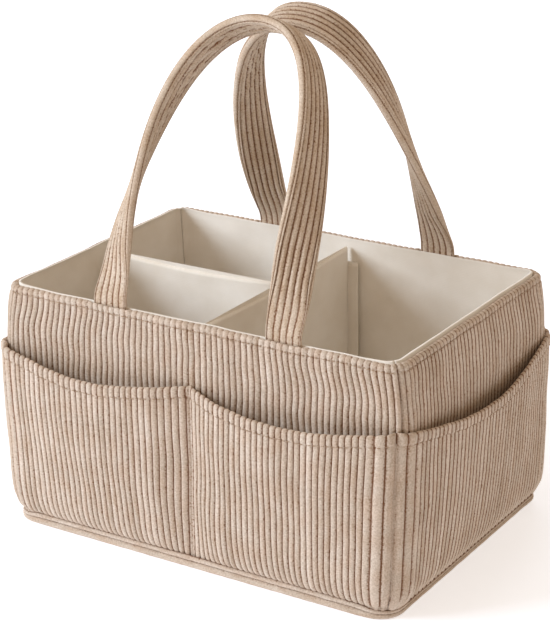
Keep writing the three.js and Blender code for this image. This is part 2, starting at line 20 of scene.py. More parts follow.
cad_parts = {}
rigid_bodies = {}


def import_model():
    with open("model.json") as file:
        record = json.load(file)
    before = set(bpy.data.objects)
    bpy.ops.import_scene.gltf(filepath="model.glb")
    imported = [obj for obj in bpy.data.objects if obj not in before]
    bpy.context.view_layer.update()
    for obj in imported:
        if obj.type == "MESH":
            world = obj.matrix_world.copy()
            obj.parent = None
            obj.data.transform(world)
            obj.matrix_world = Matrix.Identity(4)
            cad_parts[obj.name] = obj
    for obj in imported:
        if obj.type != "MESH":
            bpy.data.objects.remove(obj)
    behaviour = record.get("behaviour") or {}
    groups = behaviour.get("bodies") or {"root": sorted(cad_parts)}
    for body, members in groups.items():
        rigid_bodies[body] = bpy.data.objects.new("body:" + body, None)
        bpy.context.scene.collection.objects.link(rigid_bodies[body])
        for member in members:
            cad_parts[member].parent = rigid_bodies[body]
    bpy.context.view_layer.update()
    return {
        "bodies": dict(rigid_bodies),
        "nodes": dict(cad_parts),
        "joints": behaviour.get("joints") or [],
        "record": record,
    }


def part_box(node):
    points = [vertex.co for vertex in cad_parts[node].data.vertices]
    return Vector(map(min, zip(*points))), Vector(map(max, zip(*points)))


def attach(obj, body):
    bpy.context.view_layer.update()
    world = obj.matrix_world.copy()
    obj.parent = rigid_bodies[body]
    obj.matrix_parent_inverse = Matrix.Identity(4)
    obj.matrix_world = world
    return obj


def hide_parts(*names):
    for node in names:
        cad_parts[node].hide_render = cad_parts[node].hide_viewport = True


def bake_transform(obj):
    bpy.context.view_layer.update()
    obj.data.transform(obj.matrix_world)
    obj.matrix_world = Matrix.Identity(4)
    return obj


MM = 0.001
NOISE_RANGE = (0.3, 0.7)  # the values that a noise texture mostly keeps to
WAVE_UNIT = 0.314  # a wave texture of scale 1 runs through one band in this length
LOG = logging.getLogger("caddy")

Array = np.ndarray
Piece = bpy.types.Object
Material = bpy.types.Material
Tree = bpy.types.NodeTree
Node = bpy.types.Node
Span = tuple[float, float]
Stretch = tuple[float, float, int]  # first and last share of a length, and how many points lie on it


def linear(code: str) -> tuple[float, float, float, float]:
    """Turns an sRGB hex colour into linear light.

    Args:
        code: six hex digits after a hash.

    Returns:
        Red, green, blue and an alpha of 1.
    """
    values = np.array([int(code[i : i + 2], 16) for i in (1, 3, 5)]) / 255.0
    light = np.where(values <= 0.04045, values / 12.92, ((values + 0.055) / 1.055) ** 2.4)
    return (*light.tolist(), 1.0)


def smooth(value: Array, low: float, high: float) -> Array:
    """Eases from 0 at low to 1 at high along 3t^2 - 2t^3."""
    share = np.clip((value - low) / (high - low), 0.0, 1.0)
    return share * share * (3.0 - 2.0 * share)


def between(first: Array | float, last: Array | float, share: Array) -> Array:
    """Goes from the first value at share 0 to the last one at share 1."""
    return first + (last - first) * share


def hump(distance: Array, width: float) -> Array:
    """Gives the bell exp(-(distance / width)^2), 1 in the middle and fading to both sides."""
    return np.exp(-((distance / width) ** 2))


def signed_power(value: Array, power: float) -> Array:
    """Raises the size of a value to a power and keeps its sign."""
    return np.sign(value) * np.abs(value) ** power


def unit(vectors: Array) -> Array:
    """Scales vectors to length 1."""
    return vectors / np.linalg.norm(vectors, axis=-1, keepdims=True)


def ripple(across: Array, along: Array, length: float, seed: int) -> Array:
    """Adds up five sine waves in seeded directions, each shorter and lower, as slack cloth ripples.

    Args:
        across: first distance on the cloth.
        along: second distance on the cloth.
        length: the longest wave.
        seed: picks directions and starts.

    Returns:
        A smooth field between about -1 and 1.
    """
    dice = np.random.default_rng(seed)
    waves = 5
    shorter = 0.55  # added to the pace of each wave, as a share of the first one's
    lower = 0.5  # added to what each wave's height is divided by
    crest = 2.5  # near the most that the waves add up to
    total = np.zeros(np.broadcast(across, along).shape)
    for wave in range(waves):
        angle, start = dice.uniform(0.0, 2.0 * math.pi, 2)
        pace = 2.0 * math.pi / length * (1.0 + shorter * wave)
        travel = across * math.cos(angle) + along * math.sin(angle)
        total += np.sin(travel * pace + start) / (1.0 + lower * wave)
    return total / crest


def grid(*parts: Array) -> Array:
    """Stretches arrays to one shape and stacks them along a new last axis."""
    return np.stack(np.broadcast_arrays(*parts), axis=-1)


def join(*parts: Array) -> Array:
    """Sets arrays side by side, each stretched to the rows of the first."""
    rows = len(parts[0])
    return np.concatenate([np.broadcast_to(part, (rows, part.shape[-1])) for part in parts], axis=1)


def there_and_back(count: int) -> tuple[Array, Array]:
    """Gives shares from -1 to 1 and back again, and 1 on the way there and 0 on the way back."""
    share = np.linspace(-1.0, 1.0, count)
    return np.concatenate([share, share[::-1]]), np.repeat([1.0, 0.0], count)


def loft(name: str, rings: Array, attributes: dict[str, Array], closed: bool = False) -> Piece:
    """Makes closed bodies through rows of rings.

    Neighbouring rings are joined by quads, point to point. An open row gets one face over each end and a
    closed row runs from its last ring back to its first. The signed volume, which is the sum over the
    triangles of a . (b x c) / 6, tells which way the faces look, and they are turned outwards.

    Args:
        name: name of the piece.
        rings: points as (row, point, 3), or (body, row, point, 3) for many bodies in one piece.
        attributes: values at the points, one number or three each.
        closed: whether each row of rings runs round.

    Returns:
        The object, at the origin.
    """
    rings = rings if rings.ndim == 4 else rings[None]
    bodies, rows, size = rings.shape[:3]
    points = rings.reshape(-1, 3)
    index = np.arange(len(points)).reshape(bodies, rows, size)
    first = index if closed else index[:, :-1]
    second = np.roll(index, -1, axis=1) if closed else index[:, 1:]
    around = [first, second, np.roll(second, -1, axis=2), np.roll(first, -1, axis=2)]
    quads = np.stack(around, axis=-1).reshape(-1, 4)
    ends = np.zeros((0, size), int) if closed else np.concatenate([index[:, 0], index[:, -1, ::-1]])
    fans = np.stack([np.repeat(ends[:, :1], size - 2, axis=1), ends[:, 1:-1], ends[:, 2:]], axis=-1)
    triangles = np.concatenate([quads[:, [0, 1, 2]], quads[:, [0, 2, 3]], fans.reshape(-1, 3)])
    a, b, c = (points[triangles[:, k]] for k in range(3))
    if np.einsum("ij,ij->", a, np.cross(b, c)) < 0.0:
        quads, ends = quads[:, ::-1], ends[:, ::-1]
    loops = np.concatenate([quads.ravel(), ends.ravel()]).astype(np.int32)
    totals = np.concatenate([np.full(len(quads), 4), np.full(len(ends), size)])
    starts = np.concatenate([[0], np.cumsum(totals)[:-1]]).astype(np.int32)
    mesh = bpy.data.meshes.new(name)
    mesh.vertices.add(len(points))
    mesh.vertices.foreach_set("co", points.astype(np.float32).ravel())
    mesh.loops.add(len(loops))
    mesh.loops.foreach_set("vertex_index", loops)
    mesh.polygons.add(len(starts))
    mesh.polygons.foreach_set("loop_start", starts)
    mesh.polygons.foreach_set("use_smooth", totals == 4)
    for label, values in attributes.items():
        wide = values.size == points.size
        layer = mesh.attributes.new(label, "FLOAT_VECTOR" if wide else "FLOAT", "POINT")
        layer.data.foreach_set("vector" if wide else "value", values.astype(np.float32).ravel())
    mesh.update(calc_edges=True)
    mesh.validate()
    piece = bpy.data.objects.new(name, mesh)
    bpy.context.scene.collection.objects.link(piece)
    return piece


def fill_inputs(tree: Tree, node: Node, inputs: dict) -> None:
    """Sets or links the inputs of a shader node.

    Args:
        tree: the node tree.
        node: the node to fill in.
        inputs: socket name or number to a value, or to a (node, output) pair that is linked.
    """
    for key, value in inputs.items():
        if isinstance(value, tuple) and isinstance(value[0], Node):
            tree.links.new(value[0].outputs[value[1]], node.inputs[key])
        else:
            node.inputs[key].default_value = value


def add_node(tree: Tree, kind: str, inputs: dict | None = None, **settings: object) -> Node:
    """Adds one shader node.

    Args:
        tree: the node tree.
        kind: Blender's name of the node type.
        inputs: what its sockets hold, as for fill_inputs.
        settings: properties of the node itself.

    Returns:
        The new node.
    """
    node = tree.nodes.new(kind)
    for key, value in settings.items():
        setattr(node, key, value)
    fill_inputs(tree, node, inputs or {})
    return node


def new_material(name: str) -> tuple[Material, Tree, Node]:
    """Starts a node material and gives it with its node tree and its main shader.

    Args:
        name: name of the material.

    Returns:
        The material, its node tree and its main shader.
    """
    material = bpy.data.materials.new(name)
    material.use_nodes = True
    return material, material.node_tree, material.node_tree.nodes["Principled BSDF"]


@dataclass(frozen=True)
class CordFinish:
    """Cotton corduroy: ribbed cut pile, dusty crests, a flecked nap and grooves partly in painted shade."""

    name: str
    crest: str
    blush: str  # lengths of crest where the pile leans and shows its deeper side
    # partly the cloth's own darker ground and partly painted shade of the grooves
    groove: str
    pitch: float = 5.6 * MM
    tuft: float = 1.3 * MM  # drawn coarser than the real 0.4 mm tufts, so that they show
    fleck: float = 1.6 * MM  # darker fibres in the yarn, drawn coarser too
    patch: float = 34 * MM  # areas where the nap is brushed another way
    streak: float = 22 * MM  # lengths of one rib that stand fuller or flatter
    ragged: float = 0.2  # how far tufts reach over the edge of a groove
    flecked: float = 0.36  # how far a dark fibre takes a crest down to the groove's colour
    fleck_range: Span = (0.55, 0.7)  # values of the noise between which a dark fibre comes up
    lean_range: Span = (0.38, 0.66)  # values of the noise between which a crest starts to blush
    pile_rise: float = 0.7  # height of pile over which the groove's colour gives way to the crest's
    rib_shade: float = 0.05
    tuft_shade: Span = (-0.2, 0.17)
    nap_shade: Span = (-0.06, 0.06)
    warming: float = 0.8  # how much deeper in colour a darker tuft is
    bump_strength: float = 0.6
    bump_depth: float = 0.5 * MM
    roughness: float = 0.92
    specular: float = 0.2
    sheen: float = 0.2
    sheen_roughness: float = 0.45
    sheen_tint: str = "#f3e6d8"

    def build(self) -> Material:
        """Mixes groove and crest colours by the height of the pile and shades them by noises.

        Returns:
            The material.
        """
        material, tree, shader = new_material(self.name)
        cloth = add_node(tree, "ShaderNodeAttribute", attribute_name="cloth")
        tone = add_node(tree, "ShaderNodeAttribute", attribute_name="tone")
        place = add_node(tree, "ShaderNodeTexCoord")
        parts = add_node(tree, "ShaderNodeSeparateXYZ", {"Vector": (cloth, "Vector")})
        by_rib = {"Vector": (cloth, "Vector"), "Scale": (1.0 / self.pitch, 1.0 / self.streak, 0.0)}
        lengths = add_node(tree, "ShaderNodeMapping", by_rib)
        noises = {}
        for label, source, scale, detail in (
            ("tuft", (place, "Object"), 1.0 / self.tuft, 3.0),
            ("fleck", (place, "Object"), 1.0 / self.fleck, 1.0),
            ("nap", (place, "Object"), 1.0 / self.patch, 2.0),
            ("streak", (lengths, "Vector"), 1.0, 1.0),
        ):
            inputs = {"Vector": source, "Scale": scale, "Detail": detail}
            noises[label] = (add_node(tree, "ShaderNodeTexNoise", inputs), "Fac")
        tufted = {0: noises["tuft"], 1: self.ragged, 2: (parts, "Z")}
        fuzzy = add_node(tree, "ShaderNodeMath", tufted, operation="MULTIPLY_ADD")
        low, high = self.fleck_range
        specks = {"Value": noises["fleck"], "From Min": low, "From Max": high, "To Max": self.flecked}
        dark_yarn = add_node(tree, "ShaderNodeMapRange", specks)
        both = {0: (fuzzy, 0), 1: (dark_yarn, "Result")}
        pile = add_node(tree, "ShaderNodeMath", both, operation="SUBTRACT")
        low = 0.5 * self.ragged
        climb = {"Value": (pile, 0), "From Min": low, "From Max": low + self.pile_rise}
        height = add_node(tree, "ShaderNodeMapRange", climb, interpolation_type="SMOOTHSTEP")
        low, high = self.lean_range
        lean = {"Value": noises["streak"], "From Min": low, "From Max": high}
        leaning = add_node(tree, "ShaderNodeMapRange", lean)
        sides = {0: (leaning, "Result"), 6: linear(self.crest), 7: linear(self.blush)}
        crest = add_node(tree, "ShaderNodeMix", sides, data_type="RGBA")
        # the groove colour shows where the pile is low: partly the cloth's own, partly painted shade
        ends = {0: (height, "Result"), 6: linear(self.groove), 7: (crest, 2)}
        rib = add_node(tree, "ShaderNodeMix", ends, data_type="RGBA")
        start = {0: (tone, "Fac"), 1: self.rib_shade, 2: 1.0}
        shade = add_node(tree, "ShaderNodeMath", start, operation="MULTIPLY_ADD")
        low, high = NOISE_RANGE
        for label, (dark, light) in (("tuft", self.tuft_shade), ("nap", self.nap_shade)):
            span = {"From Min": low, "From Max": high, "To Min": dark, "To Max": light}
            share = add_node(tree, "ShaderNodeMapRange", {"Value": noises[label], **span})
            both = {0: (shade, 0), 1: (share, "Result")}
            shade = add_node(tree, "ShaderNodeMath", both, operation="ADD")
        falling = {0: (shade, 0), 1: -self.warming, 2: 1.0 + self.warming}
        warmth = add_node(tree, "ShaderNodeMath", falling, operation="MULTIPLY_ADD")
        tinted = {"Saturation": (warmth, 0), "Value": (shade, 0), "Color": (rib, 2)}
        colour = add_node(tree, "ShaderNodeHueSaturation", tinted)
        uneven = {"Height": noises["tuft"], "Strength": self.bump_strength, "Distance": self.bump_depth}
        bump = add_node(tree, "ShaderNodeBump", uneven)
        fill_inputs(tree, shader, {"Base Color": (colour, "Color"), "Normal": (bump, "Normal")})
        fill_inputs(tree, shader, {"Roughness": self.roughness, "Specular IOR Level": self.specular})
        dust = {"Sheen Weight": self.sheen, "Sheen Roughness": self.sheen_roughness}
        fill_inputs(tree, shader, {**dust, "Sheen Tint": linear(self.sheen_tint)})
        return material


@dataclass(frozen=True)
class WovenFinish:
    """Plain woven cotton: matt, with a just visible grid of threads and faint blotches from washing."""

    name: str
    colour: str
    shadow: str
    thread: float = 1.5 * MM  # drawn coarser than the real 0.4 mm threads, so that they show
    uneven: float = 0.4  # how far the threads wander
    blotch: float = 45 * MM
    blotch_range: Span = (0.35, 0.65)  # values of the noise between which the two creams mix
    bump_strength: float = 0.35
    bump_depth: float = 0.25 * MM
    roughness: float = 0.88
    specular: float = 0.25
    sheen: float = 0.1

    def build(self) -> Material:
        """Crosses two bands of threads for the bump and mixes two creams by a soft noise.

        Returns:
            The material.
        """
        material, tree, shader = new_material(self.name)
        cloth = add_node(tree, "ShaderNodeAttribute", attribute_name="cloth")
        lines = {"Vector": (cloth, "Vector"), "Scale": WAVE_UNIT / self.thread, "Distortion": self.uneven}
        bands = [add_node(tree, "ShaderNodeTexWave", lines, bands_direction=axis) for axis in "XY"]
        crossed = {0: (bands[0], "Fac"), 1: (bands[1], "Fac")}
        weave = add_node(tree, "ShaderNodeMath", crossed, operation="MULTIPLY")
        soft = {"Vector": (cloth, "Vector"), "Scale": 1.0 / self.blotch, "Detail": 4.0}
        noise = add_node(tree, "ShaderNodeTexNoise", soft)
        low, high = self.blotch_range
        spread = {"Value": (noise, "Fac"), "From Min": low, "From Max": high}
        share = add_node(tree, "ShaderNodeMapRange", spread)
        creams = {0: (share, "Result"), 6: linear(self.shadow), 7: linear(self.colour)}
        mix = add_node(tree, "ShaderNodeMix", creams, data_type="RGBA")
        raised = {"Height": (weave, 0), "Strength": self.bump_strength, "Distance": self.bump_depth}
        bump = add_node(tree, "ShaderNodeBump", raised)
        fill_inputs(tree, shader, {"Base Color": (mix, 2), "Normal": (bump, "Normal")})
        fill_inputs(tree, shader, {"Roughness": self.roughness, "Specular IOR Level": self.specular})
        fill_inputs(tree, shader, {"Sheen Weight": self.sheen})
        return material


@dataclass(frozen=True)
class GrainFinish:
    """A matt material with an even grain, such as felt, pile tape, spun thread or matt sheet."""

    name: str
    colour: str
    shadow: str
    grain: float
    roughness: float
    bump_depth: float
    bump_strength: float = 0.6

    def build(self) -> Material:
        """Mixes two shades by a fine noise and lifts the surface by the same noise.

        Returns:
            The material.
        """
        material, tree, shader = new_material(self.name)
        place = add_node(tree, "ShaderNodeTexCoord")
        fine = {"Vector": (place, "Object"), "Scale": 1.0 / self.grain, "Detail": 4.0}
        noise = (add_node(tree, "ShaderNodeTexNoise", fine), "Fac")
        low, high = NOISE_RANGE
        share = add_node(tree, "ShaderNodeMapRange", {"Value": noise, "From Min": low, "From Max": high})
        shades = {0: (share, "Result"), 6: linear(self.shadow), 7: linear(self.colour)}
        mix = add_node(tree, "ShaderNodeMix", shades, data_type="RGBA")
        raised = {"Height": noise, "Strength": self.bump_strength, "Distance": self.bump_depth}
        bump = add_node(tree, "ShaderNodeBump", raised)
        fill_inputs(tree, shader, {"Base Color": (mix, 2), "Normal": (bump, "Normal")})
        fill_inputs(tree, shader, {"Roughness": self.roughness})
        return material


class Finishes:
    """All the materials of the caddy, made once and shared."""

    def __init__(self) -> None:
        """Builds each material from its finish."""
        # Cut pile looks dusty on its crests; its grooves are painted dark, partly in the cloth's own colour
        # and partly as shade.
        self.cord = CordFinish("cotton_cord", "#c8b9aa", "#c3af9d", "#77523a").build()
        # The straps get their own copy of the cord, a shade warmer: painted shade, matched to how the
        # straps fall in the light.
        self.strap_cord = CordFinish("cotton_cord_strap", "#c9b8a6", "#c1ab95", "#765239").build()
        # Washed cotton is matt, with threads that just show and soft blotches.
        self.lining = WovenFinish("cotton_lining", colour="#f4efe7", shadow="#ebe4d9").build()
        # Spun cotton thread looks smooth and dull from here, with a hint of its twist.
        spun = {"grain": 0.8 * MM, "roughness": 0.8, "bump_depth": 0.1 * MM}
        self.thread = GrainFinish("tan_thread", "#b39a82", "#94795f", **spun).build()
        self.dark_thread = GrainFinish("brown_thread", "#744a29", "#5a3a20", **spun).build()
        # Pressed felt and looped tape are all fibre, so they have no shine.
        felted = {"grain": 2.0 * MM, "roughness": 0.95, "bump_depth": 0.3 * MM}
        self.felt = GrainFinish("pressed_felt", "#f1eee8", "#dfdad1", **felted).build()
        looped = {"grain": 1.2 * MM, "roughness": 0.95, "bump_depth": 0.4 * MM}
        self.tape = GrainFinish("pile_tape", "#e4dbcb", "#cfc3ae", **looped).build()
        # Extruded sheet is smoother and has a faint shine.
        extruded = {"grain": 1.5 * MM, "roughness": 0.6, "bump_depth": 0.05 * MM}
        self.board = GrainFinish("matt_board", "#d9d6d0", "#cfccc5", **extruded).build()


class Side(Enum):
    """The four walls, counterclockwise from the front, valued by their quarter turn."""

    FRONT = 0
    RIGHT = 1
    BACK = 2
    LEFT = 3

    @property
    def label(self) -> str:
        """The wall's name in the frame."""
        return self.name.lower()

    @property
    def is_long(self) -> bool:
        """Whether this is one of the two long walls, which carry the handles."""
        return self in (Side.FRONT, Side.BACK)


class Wave(Enum):
    """What the ripples of a cord sheet are for, valued by the seed that keeps each use apart."""

    EDGE = 0
    SWAY = 10
    STITCHES = 30
    GIVE = 40


@dataclass(frozen=True)
class Plan:
    """The tub's outside: a rounded rectangle that opens at the front and back and tucks in at the ends."""

    rim_length: float = 384 * MM
    rim_depth: float = 260 * MM
    rim_height: float = 215 * MM
    base_flare: float = 4 * MM
    end_tuck: float = 6 * MM
    corner: float = 17 * MM

    def half_run(self, side: Side) -> float:
        """Half of a wall's straight stretch at the rim."""
        return (self.rim_length if side.is_long else self.rim_depth) / 2 - self.corner

    def seam(self, side: Side) -> float:
        """Distance across the cloth from the wall's middle to the seam in the middle of its corner."""
        return self.half_run(side) + self.corner * math.pi / 4

    def base(self, margin: float) -> tuple[float, float, float]:
        """Gives the plan on the ground.

        Args:
            margin: how far it is grown outwards.

        Returns:
            Half its length, half its depth and its corner radius.
        """
        half_x = self.rim_length / 2 - self.end_tuck + margin
        half_y = self.rim_depth / 2 + self.base_flare + margin
        return half_x, half_y, self.corner + margin

    def base_rows(self, y: Array, margin: float) -> Array:
        """Gives half the length of the plan on the ground, from front to back.

        It is full along the straight stretch and follows the corner's circle past it.

        Args:
            y: distances from the middle, to the front and back.
            margin: how far the plan is grown outwards.

        Returns:
            Half the length at each distance.
        """
        half_x, half_y, radius = self.base(margin)
        past = np.clip(np.abs(y) - (half_y - radius), 0.0, radius)
        return half_x - radius + np.sqrt(radius**2 - past**2)

    def place(self, side: Side, across: Array, height: Array, offset: Array) -> Array:
        """Puts cloth distances on the wall.

        A point runs straight along the wall and then round the corner's arc. Its outward distance grows by
        the offset, and the plan's half sizes change evenly with the height.

        Args:
            side: the wall.
            across: distance from the wall's middle, along the cloth.
            height: height above the ground.
            offset: distance outside the cord's outer face.

        Returns:
            Points as an array with a last axis of three.
        """
        down = 1.0 - np.clip(height / self.rim_height, 0.0, 1.0)
        half_x = self.rim_length / 2 - self.end_tuck * down - self.corner
        half_y = self.rim_depth / 2 + self.base_flare * down - self.corner
        run, out = (half_x, half_y) if side.is_long else (half_y, half_x)
        straight = np.clip(across, -self.half_run(side), self.half_run(side))
        turn = (across - straight) / self.corner
        along = straight / self.half_run(side) * run + (self.corner + offset) * np.sin(turn)
        outward = out + (self.corner + offset) * np.cos(turn)
        quarter = side.value * math.pi / 2
        x = along * math.cos(quarter) + outward * math.sin(quarter)
        y = along * math.sin(quarter) - outward * math.cos(quarter)
        return grid(x, y, height)


@dataclass(frozen=True)
class CordCloth:
    """The ribbed cloth: even ribs with full round crests and narrow grooves."""

    pitch: float = 5.6 * MM
    relief: float = 1.75 * MM
    samples: int = 8
    fullness: float = 3.0

    def ribs(self, reach: float) -> int:
        """How many whole ribs fit between -reach and reach."""
        return round(2.0 * reach / self.pitch)

    def columns(self, reach: float) -> Array:
        """Distances across the cloth, an even number to each rib."""
        return np.linspace(-reach, reach, self.ribs(reach) * self.samples + 1)

    def rib(self, across: Array, reach: float, seed: int) -> tuple[Array, Array]:
        """Height and shade of the ribs.

        With p running from 0 to 1 over a rib, its height is 1 - |2p - 1|^fullness.

        Args:
            across: distance across the cloth.
            reach: where the cloth ends.
            seed: picks the shades.

        Returns:
            The height from 0 to 1, and each rib's shade around 0.
        """
        count = self.ribs(reach)
        phase = np.clip((across + reach) / (2.0 * reach) * count, 0.0, count)
        index = np.minimum(np.floor(phase), count - 1)
        height = 1.0 - np.abs(2.0 * (phase - index) - 1.0) ** self.fullness
        shades = np.random.default_rng(seed).normal(0.0, 1.0, count)
        return height, shades[index.astype(int)]


@dataclass
class Stitching:
    """Rows of single stitches, each a small rounded length of thread lying on the cloth."""

    name: str
    length: float = 2.8 * MM
    radius: float = 0.42 * MM
    slant: float = 0.0  # how far a stitch climbs for each step along the row
    proud: float = 0.3  # share of its radius by which the thread's middle lies above the cloth
    sides: int = 6
    steps: tuple[float, ...] = (-0.5, -0.36, 0.0, 0.36, 0.5)  # shares of the length
    widths: tuple[float, ...] = (0.3, 0.85, 1.0, 0.85, 0.3)  # shares of the radius at these steps
    rows: list[tuple[Array, Array, Array]] = field(default_factory=list)

    def row(self, points: Array, directions: Array, normals: Array) -> None:
        """Adds stitches, each lying along its direction on a surface with that normal."""
        self.rows.append((points, directions, normals))

    def build(self) -> Piece:
        """Carries a small ring along each stitch, full in the middle and closed in at both ends.

        Returns:
            One piece with every stitch in it.
        """
        points, along, up = (np.concatenate(part) for part in zip(*self.rows))
        along = unit(along)
        side = unit(np.cross(up, along))
        up = np.cross(along, side)
        steps = np.array(self.steps) * self.length
        widths = np.array(self.widths) * self.radius
        turn = np.arange(self.sides) * 2.0 * math.pi / self.sides
        ring = side[:, None, :] * np.cos(turn)[:, None] + up[:, None, :] * np.sin(turn)[:, None]
        centres = points[:, None, :] + along[:, None, :] * steps[:, None]
        return loft(self.name, centres[:, :, None, :] + ring[:, None] * widths[:, None, None], {})


@dataclass(frozen=True)
class Face:
    """The outer face of a cord sheet, as arrays over its grid.

    offset is where the grooves lie, lift the share of the full rib height, groove the darkness of the
    grooves, partly painted shade, and dot the shade painted into dimples, seams and the foot, the last two
    from 0 to 1.
    """

    offset: Array
    lift: Array
    groove: Array
    dot: Array


@dataclass(kw_only=True)
class CordSheet(ABC):
    """A cord sheet on one wall with its top edge turned over; each kind of sheet fills in its own form."""

    side: Side
    plan: Plan
    cloth: CordCloth
    kind: str
    rib_seed: int
    wave_seed: int
    row_stretches: tuple[Stretch, ...]  # of the height, for the points of the outer face
    turned: float
    stitch_drop: float
    bow_left: float
    bow_right: float
    seam_depth: float
    soft_height: float
    soft_length: float
    wander: float
    wander_length: float
    wander_stretch: Span  # across and along the ribs
    free_width: float  # how far from the corner seams the ribs are free to wander
    low: float = 3.2 * MM
    end_relief: float = 0.46
    # painted shade: the grooves of the ends' flatter ribs are painted darker
    end_groove_painted_shade: float = 0.75  # how much darker the grooves look on the flatter ribs of the ends
    corner_ease: Span = (-12 * MM, 4 * MM)  # past the straight stretch, where flat ribs grow to full ones
    seam_width: float = 1.7 * MM
    stitch_pitch: float = 3.9 * MM
    stitch_clear: float = 5 * MM
    stitch_wander: float = 0.5 * MM
    stitch_wander_length: float = 11 * MM
    dimple: float = 1.0 * MM
    fold_loss: float = 0.7  # share of the rib height that is gone on the inner end of the fold
    fold_rows: int = 8
    back_rows: int = 8

    @property
    def reach(self) -> float:
        """Distance across the cloth from the middle to the corner seams."""
        return self.plan.seam(self.side)

    @abstractmethod
    def top(self, across: Array) -> Array:
        """Height of the turned edge."""

    @abstractmethod
    def fold(self, across: Array) -> Array:
        """Radius of the fold at the turned edge."""

    @abstractmethod
    def face(self, across: Array, height: Array) -> Face:
        """Form of the outer face."""

    @abstractmethod
    def back(self, across: Array, height: Array) -> Array:
        """Offset of the inner face."""

    def place(self, across: Array, height: Array, offset: Array) -> Array:
        """Puts cloth distances on the wall and bows the ends out.

        With t the share of the rim's height, a point at the end moves by the bow times 6.75 t^2 (1 - t),
        which is 1 at two thirds of the height, and others move less, evenly to the middle.

        Args:
            across: distance from the wall's middle, along the cloth.
            height: height above the ground.
            offset: distance outside the cord's outer face.

        Returns:
            Points as an array with a last axis of three.
        """
        points = self.plan.place(self.side, across, height, offset)
        share = np.clip(height / self.plan.rim_height, 0.0, 1.0)
        bow = np.where(points[..., 0] < 0.0, self.bow_left, self.bow_right) / (self.plan.rim_length / 2)
        points[..., 0] *= 1.0 + bow * 6.75 * share**2 * (1.0 - share)
        return points

    def stand_up(self, across: Array) -> Array:
        """Gives the share of the full rib height.

        Args:
            across: distance across the cloth.

        Returns:
            1 on the long walls and round the corners, and less on the ends.
        """
        if self.side.is_long:
            return 1.0 + 0.0 * across
        past = np.abs(across) - self.plan.half_run(self.side)
        return between(self.end_relief, 1.0, smooth(past, *self.corner_ease))

    def depth(self, across: Array) -> Array:
        """Painted darkness of the grooves: 1 on full ribs, and more painted shade where the ribs are
        flatter.
        """
        return 1.0 + self.end_groove_painted_shade * (1.0 - self.stand_up(across))

    def waves(self, use: Wave, across: Array, height: Array, length: float) -> Array:
        """Ripples of this sheet alone, its own for each use."""
        return ripple(across, height, length, use.value + self.side.value + self.wave_seed)

    def soft(self, across: Array, height: Array) -> Array:
        """The slight give of the whole sheet."""
        return self.soft_height * self.waves(Wave.GIVE, across, height, self.soft_length)

    def seam(self, across: Array) -> Array:
        """How deep the cloth dips into the corner seams."""
        return self.seam_depth * hump(self.reach - np.abs(across), self.seam_width)

    def free(self, across: Array) -> Array:
        """How free the ribs are to wander, from 0 at the corner seams to 1."""
        return smooth(self.reach - np.abs(across), 0.0, self.free_width)

    def sway(self, across: Array, height: Array) -> Array:
        """Gives the ribs a slow wander that fades to nothing at the corner seams.

        Args:
            across: distance across the cloth.
            height: height above the ground.

        Returns:
            How far the ribs move sideways.
        """
        wide, high = self.wander_stretch
        waves = self.waves(Wave.SWAY, across * wide, height * high, self.wander_length)
        return self.free(across) * self.wander * waves

    def stitch_line(self, across: Array, height: Array) -> tuple[Array, Array]:
        """Finds the hem's stitch line, which wanders a little.

        Args:
            across: distance across the cloth.
            height: height above the ground.

        Returns:
            The distance below the line, and a dimple of 0 to 1 beside each stitch.
        """
        wander = self.waves(Wave.STITCHES, across, 0.0 * across, self.stitch_wander_length)
        below = self.top(across) - self.stitch_drop - self.stitch_wander * wander - height
        beside = 0.5 - 0.5 * np.cos(across * 2.0 * math.pi / self.stitch_pitch)
        return below, hump(below, self.dimple) * beside

    def build(self) -> Piece:
        """Runs the section up the outer face, over the turned edge and down inside, along the wall.

        The rib's height is added square to the section, so a crest also stands out over the fold.

        Returns:
            The closed sheet.
        """
        across = self.cloth.columns(self.reach)[:, None]
        rib, tone = self.cloth.rib(across, self.reach, self.rib_seed + self.side.value)
        top, radius = self.top(across), self.fold(across)
        rows = np.concatenate([np.linspace(*stretch) for stretch in self.row_stretches])
        outer = between(self.low, top - radius, rows)
        bend = np.linspace(0.0, math.pi, self.fold_rows + 1)[1:]
        over = top - radius + radius * np.sin(bend)
        inside = between(self.low, top - self.turned, np.linspace(1.0, 0.0, self.back_rows))
        height = join(outer, over, inside)
        face = self.face(across, outer)
        round_edge = face.offset[:, -1:] + radius * (np.cos(bend) - 1.0)
        depth = join(face.offset, round_edge, self.back(across, inside))
        thinner = face.lift[:, -1:] * (1.0 - self.fold_loss * bend / math.pi)
        lift = join(face.lift, thinner, 0.0 * inside)
        groove = join(face.groove, face.groove[:, -1:] + 0.0 * bend, 0.0 * inside)
        dot = join(face.dot, 0.0 * over, 0.0 * inside)
        out = join(1.0 + 0.0 * outer, np.cos(bend), 0.0 * inside - 1.0)
        rise = join(0.0 * outer, np.sin(bend), 0.0 * inside)
        swell = self.cloth.relief * rib * lift
        moved = across + self.sway(across, height)
        points = self.place(moved, height + swell * rise, depth + swell * out)
        # low pile takes the groove colour, and the painted shade takes it lower still
        pile = 1.0 - (1.0 - rib) * groove - dot
        attributes = {"cloth": grid(across, height, pile), "tone": tone + 0.0 * height}
        return loft(f"{self.side.label}_{self.kind}_cord", points, attributes)

    def marks(self, clear: float, pitch: float) -> Array:
        """Distances across the cloth at which stitches lie, evenly and clear of the corner seams."""
        count = math.floor((self.reach - clear) / pitch)
        return np.arange(-count, count + 1) * pitch

